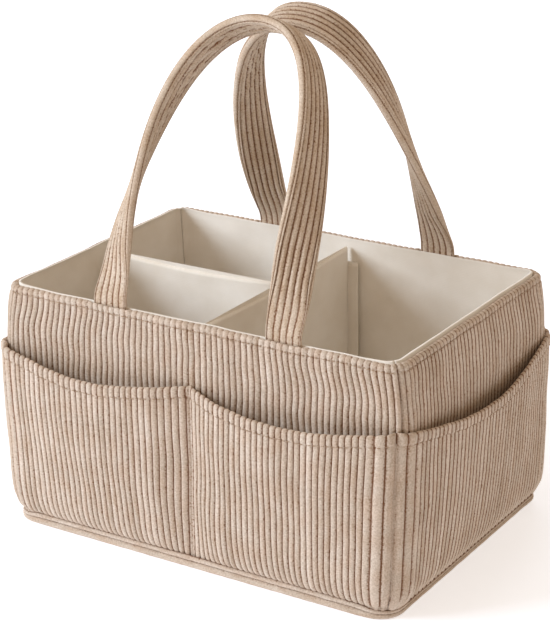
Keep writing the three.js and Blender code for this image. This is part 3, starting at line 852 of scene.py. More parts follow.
    def stitch_row(self, thread: Stitching, across: Array, height: Array) -> None:
        """Lays a row of stitches on the outer face.

        Args:
            thread: the rows to add to.
            across: distances across the cloth.
            height: heights above the ground.
        """
        face = self.face(across, height)
        rib, _ = self.cloth.rib(across, self.reach, 0)
        out = face.offset + self.cloth.relief * rib * face.lift + thread.proud * thread.radius
        climb = thread.slant * MM
        bulge = self.face(across, height + climb).offset - face.offset
        here = self.place(across, height, out)
        beside = self.place(across + MM, height + climb, out + bulge)
        above = self.place(across, height, out + MM)
        thread.row(here, beside - here, above - here)

    def hem_stitches(self, thread: Stitching) -> None:
        """Lays the row of stitches that holds the turned edge."""
        across = self.marks(self.stitch_clear, self.stitch_pitch)
        self.stitch_row(thread, across, self.top(across) - self.stitch_drop)


@dataclass(kw_only=True)
class WallPanel(CordSheet):
    """One cord panel of the wall: its hem is pressed half flat and its ribs curl a little under the rim."""

    straps: tuple[float, ...]
    kind: str = "wall"
    rib_seed: int = 40
    wave_seed: int = 0
    # Sparse behind the pocket, close under the rim and closest at the hem.
    row_stretches: tuple[Stretch, ...] = ((0.0, 0.55, 9), (0.58, 0.94, 26), (0.945, 1.0, 16))
    turned: float = 3.6 * MM
    stitch_drop: float = 5.2 * MM
    bow_left: float = 10 * MM
    bow_right: float = 8 * MM
    seam_depth: float = 1.7 * MM
    soft_height: float = 0.7 * MM
    soft_length: float = 85 * MM
    wander: float = 0.8 * MM
    wander_length: float = 80 * MM
    wander_stretch: Span = (0.7, 1.5)
    free_width: float = 25 * MM
    sheet: float = 2.4 * MM
    rim_drop: float = 0.9 * MM
    rim_wave: float = 0.6 * MM
    rim_wave_length: float = 90 * MM
    hem: float = 6.0 * MM
    hem_at_strap: float = 2.3 * MM
    hem_ribs: float = 0.75  # share of the relief that stands on the hem
    hem_margin: float = 0.1 * MM
    strap_room: Span = (19 * MM, 23 * MM)
    press_zone: Span = (-0.8 * MM, 1.6 * MM)  # below the stitch line, where the pressed hem ends
    press_fill: float = 0.25  # share of the relief by which pressed grooves come up
    press_loss: float = 0.3  # share of the rib height that pressing takes
    dimple_depth: float = 0.4 * MM
    dimple_loss: float = 0.6
    # painted shade in the dimple beside each stitch
    dimple_painted_shade: float = 0.4
    curl: float = 2.8 * MM
    curl_length: float = 46 * MM
    curl_fade: float = 32 * MM

    def hem_thickness(self, across: Array) -> Array:
        """Gives the thickness of the turned edge.

        Args:
            across: distance across the cloth.

        Returns:
            The full hem, less where a strap goes down behind it.
        """
        if not self.straps:
            return self.hem + 0.0 * across
        near = np.min([np.abs(across - strap) for strap in self.straps], axis=0)
        return between(self.hem_at_strap, self.hem, smooth(near, *self.strap_room))

    def top(self, across: Array) -> Array:
        """Height of the rim, with the slight rise and fall of sewn cloth."""
        wave = self.rim_wave * self.waves(Wave.EDGE, across, 0.0 * across, self.rim_wave_length)
        return self.plan.rim_height - self.rim_drop + wave

    def fold(self, across: Array) -> Array:
        """Half the hem's thickness, less the part of the relief that stands on it."""
        return (self.hem_thickness(across) - self.hem_ribs * self.cloth.relief) / 2

    def face(self, across: Array, height: Array) -> Face:
        """Presses the hem half flat, dimples it beside each stitch and dips into the corner seams.

        Paints shade into the dimples.

        Args:
            across: distance across the cloth.
            height: height above the ground.

        Returns:
            The form of the outer face.
        """
        below, dimple = self.stitch_line(across, height)
        pressed = 1.0 - smooth(below, *self.press_zone)
        offset = self.cloth.relief * (self.press_fill * pressed - 1.0) - self.dimple_depth * dimple
        offset = offset - self.seam(across) + self.soft(across, height)
        full = 1.0 - self.press_loss * pressed
        lift = full * (1.0 - self.dimple_loss * dimple) * self.stand_up(across)
        return Face(offset, lift, full * self.depth(across), self.dimple_painted_shade * dimple)

    def back(self, across: Array, height: Array) -> Array:
        """The hem's own thickness along its lower edge, and one sheet below it."""
        in_hem = height > self.top(across) - self.turned - self.hem_margin
        return np.where(in_hem, -self.hem_thickness(across), -self.sheet)

    def sway(self, across: Array, height: Array) -> Array:
        """Adds a curl under the rim: a fading sine of the depth below it, growing to the corners.

        Args:
            across: distance across the cloth.
            height: height above the ground.

        Returns:
            How far the ribs move sideways.
        """
        below = self.top(across) - height
        fading = np.sin(below * 2.0 * math.pi / self.curl_length) * np.exp(-below / self.curl_fade)
        curled = self.curl * across / self.reach * fading
        return super().sway(across, height) - self.free(across) * curled


@dataclass(kw_only=True)
class Pocket(CordSheet):
    """One outside pocket: tight at its seams and foot, bellied between them, with a dipped, turned hem."""

    compartments: int
    bulge: float
    dip: float
    foot: float
    kind: str = "pocket"
    rib_seed: int = 60
    wave_seed: int = 100
    # Close over the round foot, even up the belly and closest at the hem.
    row_stretches: tuple[Stretch, ...] = ((0.0, 0.2, 15), (0.225, 0.9, 32), (0.91, 1.0, 18))
    turned: float = 9.5 * MM
    stitch_drop: float = 8.5 * MM
    bow_left: float = 4 * MM
    bow_right: float = 0.0
    seam_depth: float = 2.0 * MM
    soft_height: float = 0.6 * MM
    soft_length: float = 90 * MM
    soft_foot: float = 40 * MM  # height over the foot up to which the give grows
    wander: float = 0.9 * MM
    wander_length: float = 95 * MM
    wander_stretch: Span = (1.0, 0.7)
    free_width: float = 22 * MM
    hem_height: float = 161 * MM
    hem_wave: float = 0.7 * MM
    hem_wave_length: float = 60 * MM
    hem_extra: float = 0.8 * MM
    hem_ribs: float = 0.4  # share of the relief that stands on the hem
    hem_zone: Span = (-1.5 * MM, 1.0 * MM)  # below the stitch line, where the doubled hem ends
    sheet: float = 2.6 * MM
    gap: float = 0.3 * MM
    stand: float = 9 * MM
    stand_loss: float = 3 * MM
    fullness: float = 0.8
    dip_power: float = 1.5
    foot_round: float = 28 * MM
    seam_hold: float = 40 * MM
    middle_depth: float = 1.2 * MM
    # painted shade in the crease of the middle seam
    middle_painted_shade: float = 0.5
    dimple_depth: float = 0.3 * MM
    dimple_loss: float = 0.4
    # painted shade in the dimple beside each stitch
    dimple_painted_shade: float = 0.3
    flat_zone: Span = (6 * MM, 16 * MM)  # over the foot, where the flattened ribs of the ends rise again
    flat_loss: float = 0.8
    flat_groove_loss: float = 0.75
    # painted shade over the flattened foot of the ends, where the pocket tucks in to the welt
    flat_painted_shade: float = 0.12
    foot_stitch: float = 4.5 * MM
    foot_pitch: float = 6.3 * MM

    def belly(self, across: Array) -> Array:
        """Fullness between two seams: a sine arch to a power, 0 at the seams and 1 between them."""
        turn = math.pi * self.compartments * (across + self.reach) / (2.0 * self.reach)
        return np.abs(np.sin(turn)) ** self.fullness

    def middle(self, across: Array) -> Array:
        """How near a point is to the seam down the middle, from 0 to 1, where there is one."""
        return hump(across, self.seam_width) if self.compartments > 1 else 0.0 * across

    def held(self, across: Array) -> Array:
        """Share of the stand that the middle seam leaves: a quarter sine that starts from 0 in a crease."""
        near = np.sin(math.pi / 2 * np.clip(np.abs(across) / self.seam_hold, 0.0, 1.0))
        return near if self.compartments > 1 else 1.0 + 0.0 * across

    def top(self, across: Array) -> Array:
        """Height of the hem, high at the seams and dipped between them."""
        wave = self.hem_wave * self.waves(Wave.EDGE, across, 0.0 * across, self.hem_wave_length)
        return self.hem_height - self.dip * self.belly(across) ** self.dip_power + wave

    def fold(self, across: Array) -> Array:
        """Half the doubled hem's thickness, less the part of the relief that stands on it."""
        return (self.sheet + self.hem_extra - self.hem_ribs * self.cloth.relief) / 2 + 0.0 * across

    def slack(self, across: Array, height: Array) -> Array:
        """How far the pocket stands off the wall.

        It rounds out over the foot in a quarter ellipse, loses a little towards the hem and is held down by
        the middle seam. The belly of the hem comes on top, as a quarter sine of the height.

        Args:
            across: distance across the cloth.
            height: height above the ground.

        Returns:
            The gap between wall and pocket.
        """
        share = np.clip((height - self.foot) / (self.top(across) - self.foot), 0.0, 1.0)
        climb = np.clip((height - self.foot) / self.foot_round, 0.0, 1.0)
        stand = np.sqrt(1.0 - (1.0 - climb) ** 2) * (self.stand - self.stand_loss * share)
        return stand * self.held(across) + np.sin(math.pi / 2 * share) * self.bulge * self.belly(across)

    def face(self, across: Array, height: Array) -> Face:
        """Thickens and dimples the hem, dips into the seams and flattens the foot at the ends.

        Paints shade into the dimples, the crease of the middle seam and the flattened foot.

        Args:
            across: distance across the cloth.
            height: height above the ground.

        Returns:
            The form of the outer face.
        """
        below, dimple = self.stitch_line(across, height)
        middle = self.middle(across)
        over_foot = height - self.foot
        doubled = self.hem_extra * (1.0 - smooth(below, *self.hem_zone))
        soft = self.soft(across, height) * smooth(over_foot, 0.0, self.soft_foot)
        cloth = self.gap + self.sheet - self.cloth.relief + self.slack(across, height)
        offset = cloth + doubled + soft - self.seam(across)
        offset = offset - self.middle_depth * middle - self.dimple_depth * dimple
        flat = 0.0 if self.side.is_long else 1.0 - smooth(over_foot, *self.flat_zone)
        lift = (1.0 - self.dimple_loss * dimple) * self.stand_up(across) * (1.0 - self.flat_loss * flat)
        groove = self.depth(across) * (1.0 - self.flat_groove_loss * flat) + 0.0 * below
        dot = self.dimple_painted_shade * dimple + self.middle_painted_shade * middle + self.flat_painted_shade * flat
        return Face(offset, lift, groove, dot)

    def back(self, across: Array, height: Array) -> Array:
        """The slack, from the sewing gap at the wall."""
        return self.gap + self.slack(across, height)

    def foot_stitches(self, thread: Stitching) -> None:
        """Lays the row of stitches that closes the foot, just over the welt."""
        across = self.marks(self.plan.corner, self.foot_pitch)
        self.stitch_row(thread, across, self.foot + self.foot_stitch + 0.0 * across)


@dataclass
class Welt:
    """The doubled cord round the foot, full at the long walls and drawn in slim at the ends."""

    plan: Plan
    height: float = 10.5 * MM
    slim_height: float = 5.5 * MM
    inner: float = 3.0 * MM
    thickness: float = 3.6 * MM
    slim_thickness: float = 2.2 * MM
    slim_inset: float = 1.4 * MM
    corner_slim: float = 0.7  # share of the slim section in the corner
    corner_ease: float = 14 * MM
    parting: float = 0.6  # height of the groove between the cords, as a share; the upper cord is thinner
    upper: float = 0.85
    fullness: float = 0.8
    groove: float = 0.12  # share of the thickness that is left in the groove
    uneven: float = 0.09
    uneven_length: float = 30 * MM
    uneven_climb: float = 40 * MM  # distance on the cloth that the section's height counts for
    uneven_seed: int = 200
    upper_tone: float = 0.5
    low: float = 0.15 * MM
    round_points: int = 11
    columns: int = 160

    def slim(self, side: Side, across: Array) -> Array:
        """Gives the share of the slim section.

        Args:
            side: the wall.
            across: distance across the cloth.

        Returns:
            0 on the long walls and 1 on the ends, easing over the corner.
        """
        start = 0.0 if side.is_long else 1.0
        turned = smooth(np.abs(across), self.plan.half_run(side) - self.corner_ease, self.plan.seam(side))
        return between(start, self.corner_slim, turned)

    def build(self) -> Piece:
        """Carries a section of two half rounds, one above the other, round the whole foot.

        Returns:
            The closed ring.
        """
        turn = np.linspace(-math.pi / 2, math.pi / 2, self.round_points)
        half = 0.5 + 0.5 * np.sin(turn)
        bulge = np.cos(turn) ** self.fullness
        up = np.concatenate([self.parting * half, between(self.parting, 1.0, half), [1.0, 0.0]])
        swell = between(self.groove, 1.0, np.concatenate([bulge, self.upper * bulge]))
        swell = np.concatenate([swell, [0.0, 0.0]])
        rings, marks = [], []
        for side in Side:
            reach = self.plan.seam(side)
            across = np.linspace(-reach, reach, self.columns)[:-1, None]
            slim = self.slim(side, across)
            high = between(self.height, self.slim_height, slim)
            thick = between(self.thickness, self.slim_thickness, slim)
            wave = ripple(across, up * self.uneven_climb, self.uneven_length, self.uneven_seed + side.value)
            offset = self.inner - self.slim_inset * slim + thick * swell * (1.0 + self.uneven * wave)
            rings.append(self.plan.place(side, across, self.low + high * up, offset))
            # the swell stands for the pile, so the parting between the cords takes the groove colour,
            # partly painted shade
            marks.append(grid(high * up, across, swell))
        points, cloth = np.concatenate(rings), np.concatenate(marks)
        tone = np.where(up > self.parting, self.upper_tone, -self.upper_tone) + 0.0 * cloth[..., 0]
        return loft("foot_welt_cord", points, {"cloth": cloth, "tone": tone}, closed=True)


@dataclass
class Lining:
    """The cream inside: four panels that meet in the corners and a floor."""

    plan: Plan
    outer: float = -6.4 * MM
    sheet: float = 0.9 * MM
    low: float = 6.6 * MM
    corner_gap: float = 0.2 * MM
    corner_ease: float = 25 * MM
    rim_drop: float = 0.5 * MM
    rim_wave: float = 0.6 * MM
    rim_wave_length: float = 90 * MM
    edge_rise: float = 1.4 * MM  # the rolled top edge stands over the rim at the ends
    edge_swell: float = 1.3 * MM
    edge_depth: float = 3.5 * MM
    edge_lap: float = 0.3 * MM
    crease: float = 0.55 * MM
    crease_length: float = 60 * MM
    crease_stretch: float = 0.6
    crease_seed: int = 240
    foot_hold: float = 25 * MM  # how far foot, rim and corner seams hold the creases down
    rim_hold: float = 18 * MM
    seam_hold: float = 30 * MM
    seam: float = 0.15 * MM
    seam_drop: float = 4 * MM
    seam_width: float = 1.2 * MM
    columns: int = 120
    rows: int = 36
    row_power: float = 1.6  # rows come closer towards the rim
    floor_low: float = 6.5 * MM
    floor_inset: float = 8.2 * MM
    floor_sheet: float = 0.54 * MM
    floor_wrinkle: float = 0.35 * MM
    floor_length: float = 80 * MM
    floor_hold: float = 20 * MM
    floor_seed: int = 260
    floor_rows: int = 90

    def wall(self, side: Side) -> Piece:
        """Runs the section up the inner face, over the top edge and down behind, along the wall.

        Args:
            side: the wall.

        Returns:
            The closed panel.
        """
        seam = self.plan.seam(side)
        reach = seam - self.corner_gap
        across = np.linspace(-reach, reach, self.columns)[:, None]
        corner = smooth(np.abs(across), self.plan.half_run(side) - self.corner_ease, seam)
        rolled = corner if side.is_long else 1.0 + 0.0 * across
        wave = self.rim_wave * ripple(across, 0.0 * across, self.rim_wave_length, side.value)
        top = self.plan.rim_height - self.rim_drop + wave + self.edge_rise * rolled
        inner = between(self.low, top, 1.0 - np.linspace(1.0, 0.0, self.rows) ** self.row_power)
        below = top - inner
        swell = self.edge_swell * rolled * (1.0 - smooth(below, 0.0, self.edge_depth))
        loose = smooth(inner - self.low, 0.0, self.foot_hold) * smooth(below, 0.0, self.rim_hold)
        loose = loose * smooth(reach - np.abs(across), 0.0, self.seam_hold)
        seed = self.crease_seed + side.value
        folds = ripple(across, inner * self.crease_stretch, self.crease_length, seed)
        sewn = self.seam * hump(below - self.seam_drop, self.seam_width)
        face = self.outer - self.sheet + self.crease * folds * loose + sewn - swell
        behind = 0.0 * across + self.outer
        depth = join(face, behind, behind)
        height = join(inner, top - self.edge_lap, 0.0 * across + self.low)
        points = self.plan.place(side, across, height, depth)
        return loft(f"{side.label}_lining_cloth", points, {"cloth": grid(across, height, 0.0)})

    def floor(self) -> Piece:
        """Lays a rounded rectangle on the board: rows from front to back, each as wide as the plan there.

        Returns:
            The closed sheet.
        """
        half_x, half_y, _ = self.plan.base(-self.floor_inset)
        y = np.linspace(-half_y, half_y, self.floor_rows)[:, None]
        share, above = there_and_back(self.columns)
        x = self.plan.base_rows(y, -self.floor_inset) * share
        free = smooth(half_x - np.abs(x), 0.0, self.floor_hold)
        free = free * smooth(half_y - np.abs(y), 0.0, self.floor_hold)
        wrinkle = self.floor_wrinkle * (1.0 + ripple(x, y, self.floor_length, self.floor_seed)) * free
        z = self.floor_low + above * (self.floor_sheet + wrinkle)
        return loft("floor_lining_cloth", grid(x, y, z), {"cloth": grid(x, y, 0.0)})


@dataclass
class Underside:
    """The cord under the floor, its ribs running the long way."""

    plan: Plan
    cloth: CordCloth
    overhang: float = 2.6 * MM
    thickness: float = 2.3 * MM
    relief: float = 1.1 * MM
    rib_seed: int = 280
    columns: int = 40

    def build(self) -> Piece:
        """Lays rows from front to back, each as wide as the plan there, and lowers them along the ribs.

        Returns:
            The closed sheet.
        """
        _, half_y, _ = self.plan.base(self.overhang)
        y = self.cloth.columns(half_y)[:, None]
        rib, tone = self.cloth.rib(y, half_y, self.rib_seed)
        share, below = there_and_back(self.columns)
        x = self.plan.base_rows(y, self.overhang) * share
        z = self.thickness - below * (self.thickness - self.relief + self.relief * rib)
        attributes = {"cloth": grid(y, x, rib * below), "tone": tone + 0.0 * x}
        return loft("underside_cord", grid(x, y, z), attributes)


@dataclass
class Divider:
    """A lift-out divider: a sewn sleeve round a board, dipped along its top, with a wing at each end."""

    label: str
    centre: Span
    length: float
    turned: bool
    low: float
    high: float
    wing_low: float
    wing_high: float
    thickness: float = 5.4 * MM
    dip: float = 4 * MM
    edge: float = 2.6 * MM
    edge_power: float = 40.0  # the higher, the squarer the sleeve's two upright edges
    least: float = 0.02 * MM  # half the thickness along the closed top
    seam_drop: float = 6 * MM
    seam_depth: float = 0.5 * MM
    seam_width: float = 1.2 * MM
    pad: float = 0.25 * MM
    pad_length: float = 55 * MM
    pad_seed: int = 300
    columns: int = 64
    rows: int = 48
    edge_rows: int = 6
    wing_width: float = 24 * MM
    wing_sheet: float = 1.2 * MM
    wing_powers: Span = (0.4, 0.6)  # the lower, the squarer the wing's section
    wing_points: int = 32
    wing_rows: int = 40

    def locate(self, along: Array, through: Array, height: Array) -> Array:
        """Turns the divider's own distances into points of the frame."""
        x, y = (-through, along) if self.turned else (along, through)
        return grid(x + self.centre[0], y + self.centre[1], height)

    def top(self, along: Array) -> Array:
        """Height of the top edge, a parabola that is lowest in the middle."""
        return self.high - self.dip * (1.0 - (2.0 * along / self.length) ** 2)

    def sleeve(self) -> Piece:
        """Carries a long rounded ring upwards and closes it over the top in a quarter round.

        Returns:
            The closed sleeve.
        """
        half = self.length / 2
        share, front = there_and_back(self.columns)
        along = half * np.sin(math.pi / 2 * share)
        face = 2.0 * front - 1.0
        plump = np.sqrt(np.clip(1.0 - np.abs(along / half) ** self.edge_power, 0.0, 1.0))
        levels = np.concatenate([np.linspace(0.0, 1.0, self.rows), np.ones(self.edge_rows)])[:, None]
        round_edge = np.linspace(0.0, math.pi / 2, self.edge_rows + 1)[1:]
        bend = np.concatenate([np.zeros(self.rows), round_edge])[:, None]
        height = between(self.low, self.top(along) - self.edge, levels) + self.edge * np.sin(bend)
        pinch = self.seam_depth * hump(self.top(along) - height - self.seam_drop, self.seam_width)
        pad = self.pad * ripple(along * face, height, self.pad_length, self.pad_seed + len(self.label))
        through = face * plump * ((self.thickness / 2 + pad - pinch) * np.cos(bend) + self.least)
        points = self.locate(along, through, height)
        return loft(f"{self.label}_cloth", points, {"cloth": grid(along, height, 0.0)})

    def wing(self, end: int) -> Piece:
        """Carries a flat rounded ring up one end.

        The ring's two axes are a cosine and a sine, each raised to a power with its sign kept.

        Args:
            end: -1 or 1, which end.

        Returns:
            The closed wing.
        """
        turn = np.linspace(0.0, 2.0 * math.pi, self.wing_points, endpoint=False)
        wide = self.wing_width / 2 * signed_power(np.cos(turn), self.wing_powers[0])
        deep = self.wing_sheet / 2 * signed_power(np.sin(turn), self.wing_powers[1])
        height = np.linspace(self.wing_low, self.wing_high, self.wing_rows)[:, None]
        middle = end * (self.length / 2 - self.wing_sheet / 2)
        points = self.locate(middle + deep, wide, height)
        name = f"{self.label}_wing_{'b' if end > 0 else 'a'}"
        return loft(name, points, {"cloth": grid(wide, height, 0.0)})


@dataclass(kw_only=True)
class Handle:
    """A padded strap that climbs a leaning arch and turns a quarter way round on its way to the top."""

    label: str
    facing: int
    hinge: Vector
    shift: float
    foot_shift: float
    sway: float
    sway_power: float
    top_pull: float
    twist_power: float
    half_spread: float = 84 * MM
    height: float = 241 * MM
    foot_pull: float = 65 * MM
    bend: Span = (-9 * MM, 10 * MM)
    width: float = 35 * MM
    foot_width: float = 33 * MM
    thickness: float = 8 * MM
    foot_thickness: float = 3 * MM
    foot_reach: float = 75 * MM
    flat_length: float = -6 * MM
    tight_length: float = 12 * MM
    fill_length: float = 45 * MM
    widen_length: float = 90 * MM
    twist_ease: float = 0.03
    tail: float = 22 * MM
    ribs: int = 5
    samples: int = 8
    relief: float = 1.6 * MM
    fullness: float = 1.9
    crown: float = 0.9 * MM
    pucker: float = 1.5 * MM
    pucker_length: float = 12 * MM
    pucker_width: float = 14 * MM  # distance on the cloth that half the face counts for
    pucker_zone: Span = (110 * MM, 200 * MM)  # distance from the foot over which puckers grow
    pucker_seed: int = 320
    tone_seed: int = 340
    tone_spread: float = 0.8
    seam_angle: float = math.radians(38)
    seam_width: float = math.radians(11)
    seam_depth: float = 0.22  # share of the edge's radius
    stitch_pitch: float = 3.7 * MM
    stitch_radius: float = 0.42  # where the stitches lie in the seam, as a share of the thickness
    stitch_clear: float = 8 * MM
    edge_points: int = 23
    curve_points: int = 500
    plane_points: int = 1500
    stations: int = 320

    @property
    def lean(self) -> float:
        """Angle by which the arch leans in, so that the two straps' edges all but meet over the middle."""
        return math.asin((abs(self.hinge.y) - self.width / 2) / self.height)

    def arch(self) -> tuple[Array, Array, Array]:
        """Draws the arch flat: two mirrored cubic curves that meet level at the top, with straight tails.

        Returns:
            Even steps along the strap, and the sideways and upward distances there.
        """
        t = np.linspace(0.0, 1.0, self.curve_points)
        pulls = [(1 - t) ** 3, 3 * (1 - t) ** 2 * t, 3 * (1 - t) * t**2, t**3]
        x = self.half_spread * (pulls[0] + pulls[1]) + self.top_pull * pulls[2]
        h = self.foot_pull * pulls[1] + self.height * (pulls[2] + pulls[3])
        x = np.concatenate([[self.half_spread], x, -x[-2::-1], [-self.half_spread]])
        h = np.concatenate([[-self.tail], h, h[-2::-1], [-self.tail]])
        length = np.concatenate([[0.0], np.cumsum(np.hypot(np.diff(x), np.diff(h)))])
        way = np.linspace(0.0, length[-1], self.stations)
        return way, np.interp(way, length, x), np.interp(way, length, h)

    def route(self) -> dict[str, Array]:
        """Works out the strap's middle line and its own axes.

        The arch's plane stands upright below the rim and bends over to the lean within a few millimetres.
        The strap faces out of that plane at its feet and turns to face along the arch's radius at the top.

        Returns:
            Arrays along the strap: centre, along, outward, across, way, foot (distance from the foot),
            thickness and width.
        """
        way, x, h = self.arch()
        steps = np.linspace(-self.tail, self.height, self.plane_points)
        angle = self.lean * smooth(steps, *self.bend)
        inward = np.cumsum(np.sin(angle)) * (steps[1] - steps[0])
        upward = np.cumsum(np.cos(angle)) * (steps[1] - steps[0]) - self.tail
        theta = np.interp(h, steps, angle)
        reach = abs(self.hinge.y) - np.interp(h, steps, inward)
        low = self.foot_shift * (1.0 - smooth(h, 0.0, self.foot_reach))
        aside = self.sway * np.clip(h / self.height, 0.0, 1.0) ** self.sway_power
        rise = self.hinge.z + np.interp(h, steps, upward)
        centre = grid(x + low + self.shift + aside, self.facing * reach, rise)
        along = unit(np.gradient(centre, axis=0))
        out = grid(0.0 * theta, self.facing * np.cos(theta), np.sin(theta))
        radial = -self.facing * np.cross(along, out)
        foot = np.minimum(way, way[-1] - way) - self.tail
        climb = np.clip((foot - self.flat_length) / (way[-1] / 2 - self.tail - self.flat_length), 0.0, 1.0)
        eased = climb * climb * (1.0 + self.twist_ease) / (climb + self.twist_ease)
        twist = (math.pi / 2 * (1.0 - (1.0 - eased) ** self.twist_power))[:, None]
        outward = out * np.cos(twist) + radial * np.sin(twist)
        fill = smooth(foot, self.tight_length, self.fill_length)
        thick = between(self.foot_thickness, self.thickness, fill)
        wide = between(self.foot_width, self.width, smooth(foot, 0.0, self.widen_length))
        axes = {"centre": centre, "along": along, "outward": outward, "across": np.cross(along, outward)}
        return {**axes, "way": way, "foot": foot, "thickness": thick, "width": wide}

    def build(self) -> Piece:
        """Carries the strap's section along its route: two ribbed faces between smooth rolled edges.

        A rib is 1 - |2p - 1|^fullness high over its own share p of the face. The rolled edges are half
        rounds with a seam pressed in near each face, and the inner face puckers towards the arch's top.

        Returns:
            The closed strap.
        """
        line = self.route()
        thick, way = line["thickness"][:, None], line["way"][:, None]
        flat = line["width"][:, None] / 2 - thick / 2
        share = np.linspace(-1.0, 1.0, self.ribs * self.samples + 1)
        phase = (share + 1.0) / 2.0 * self.ribs
        index = np.minimum(np.floor(phase), self.ribs - 1).astype(int)
        rib = 1.0 - np.abs(2.0 * (phase - index) - 1.0) ** self.fullness
        arched = 1.0 - share**2
        fill = (thick - self.foot_thickness) / (self.thickness - self.foot_thickness)
        sunk = self.relief * thick / self.thickness * (1.0 - rib)
        face = thick / 2 - sunk + self.crown * fill * arched
        waves = ripple(way, share * self.pucker_width, self.pucker_length, self.pucker_seed + self.facing)
        pucker = self.pucker * smooth(line["foot"], *self.pucker_zone)[:, None] * waves
        back = pucker * arched - face
        turn = np.linspace(0.0, math.pi, self.edge_points + 2)[1:-1]
        seam = sum(hump(angle - self.seam_angle, self.seam_width) for angle in (turn, math.pi - turn))
        radius = thick / 2 * (1.0 - self.seam_depth * seam)
        edge_a, edge_b = radius * np.sin(turn), radius * np.cos(turn)
        a = join(flat * share, flat + edge_a, flat * share[::-1], -flat - edge_a[:, ::-1])
        b = join(face, edge_b, back[:, ::-1], edge_b[:, ::-1])
        # the pressed seams take the groove colour: painted shade along the seams, as in the grooves
        pile = np.concatenate([rib, 1.0 - seam, rib[::-1], 1.0 - seam])
        edge = np.full(self.edge_points, self.ribs)
        lots = np.concatenate([index, edge, index[::-1] + self.ribs + 1, edge + self.ribs + 1])
        dice = np.random.default_rng(self.tone_seed + self.facing)
        shades = dice.normal(0.0, self.tone_spread, 2 * self.ribs + 2)
        ring = line["across"][:, None, :] * a[..., None] + line["outward"][:, None, :] * b[..., None]
        points = line["centre"][:, None, :] + ring
        attributes = {"cloth": grid(a, way, pile), "tone": shades[lots] + 0.0 * a}
        return loft(f"{self.label}_strap_cord", points, attributes)

    def stitches(self, thread: Stitching) -> None:
        """Lays a row of stitches in the seam beside each rolled edge, on both faces.

        Args:
            thread: the rows to add to.
        """
        line = self.route()
        way = line["way"]
        free = self.tail + self.stitch_clear
        marks = np.arange(free, way[-1] - free, self.stitch_pitch)
        at = {}
        for key in ("centre", "along", "across", "outward"):
            at[key] = np.stack([np.interp(marks, way, line[key][:, k]) for k in range(3)], axis=-1)
        thick, wide = (np.interp(marks, way, line[key])[:, None] for key in ("thickness", "width"))
        radius = self.stitch_radius * thick
        aside = wide / 2 - thick / 2 + radius * math.sin(self.seam_angle)
        for edge in (-1, 1):
            for face in (-1, 1):
                outward = face * at["outward"]
                points = at["centre"] + at["across"] * edge * aside
                thread.row(points + outward * radius * math.cos(self.seam_angle), at["along"], outward)


@dataclass(frozen=True)
class Lamp:
    """A square soft light that looks at the middle of the caddy."""

    name: str
    place: tuple[float, float, float]
    size: float
    power: float
    tint: str
    aim: tuple[float, float, float] = (0.0, 0.0, 150 * MM)

    def build(self) -> None:
        """Hangs the light."""
        light = bpy.data.lights.new(self.name, "AREA")
        light.color = linear(self.tint)[:3]
        light.size = self.size
        light.energy = self.power
        lamp = bpy.data.objects.new(self.name, light)
        lamp.location = self.place
        beam = Vector(self.aim) - Vector(self.place)
        lamp.rotation_euler = beam.to_track_quat("-Z", "Y").to_euler()
        bpy.context.scene.collection.objects.link(lamp)


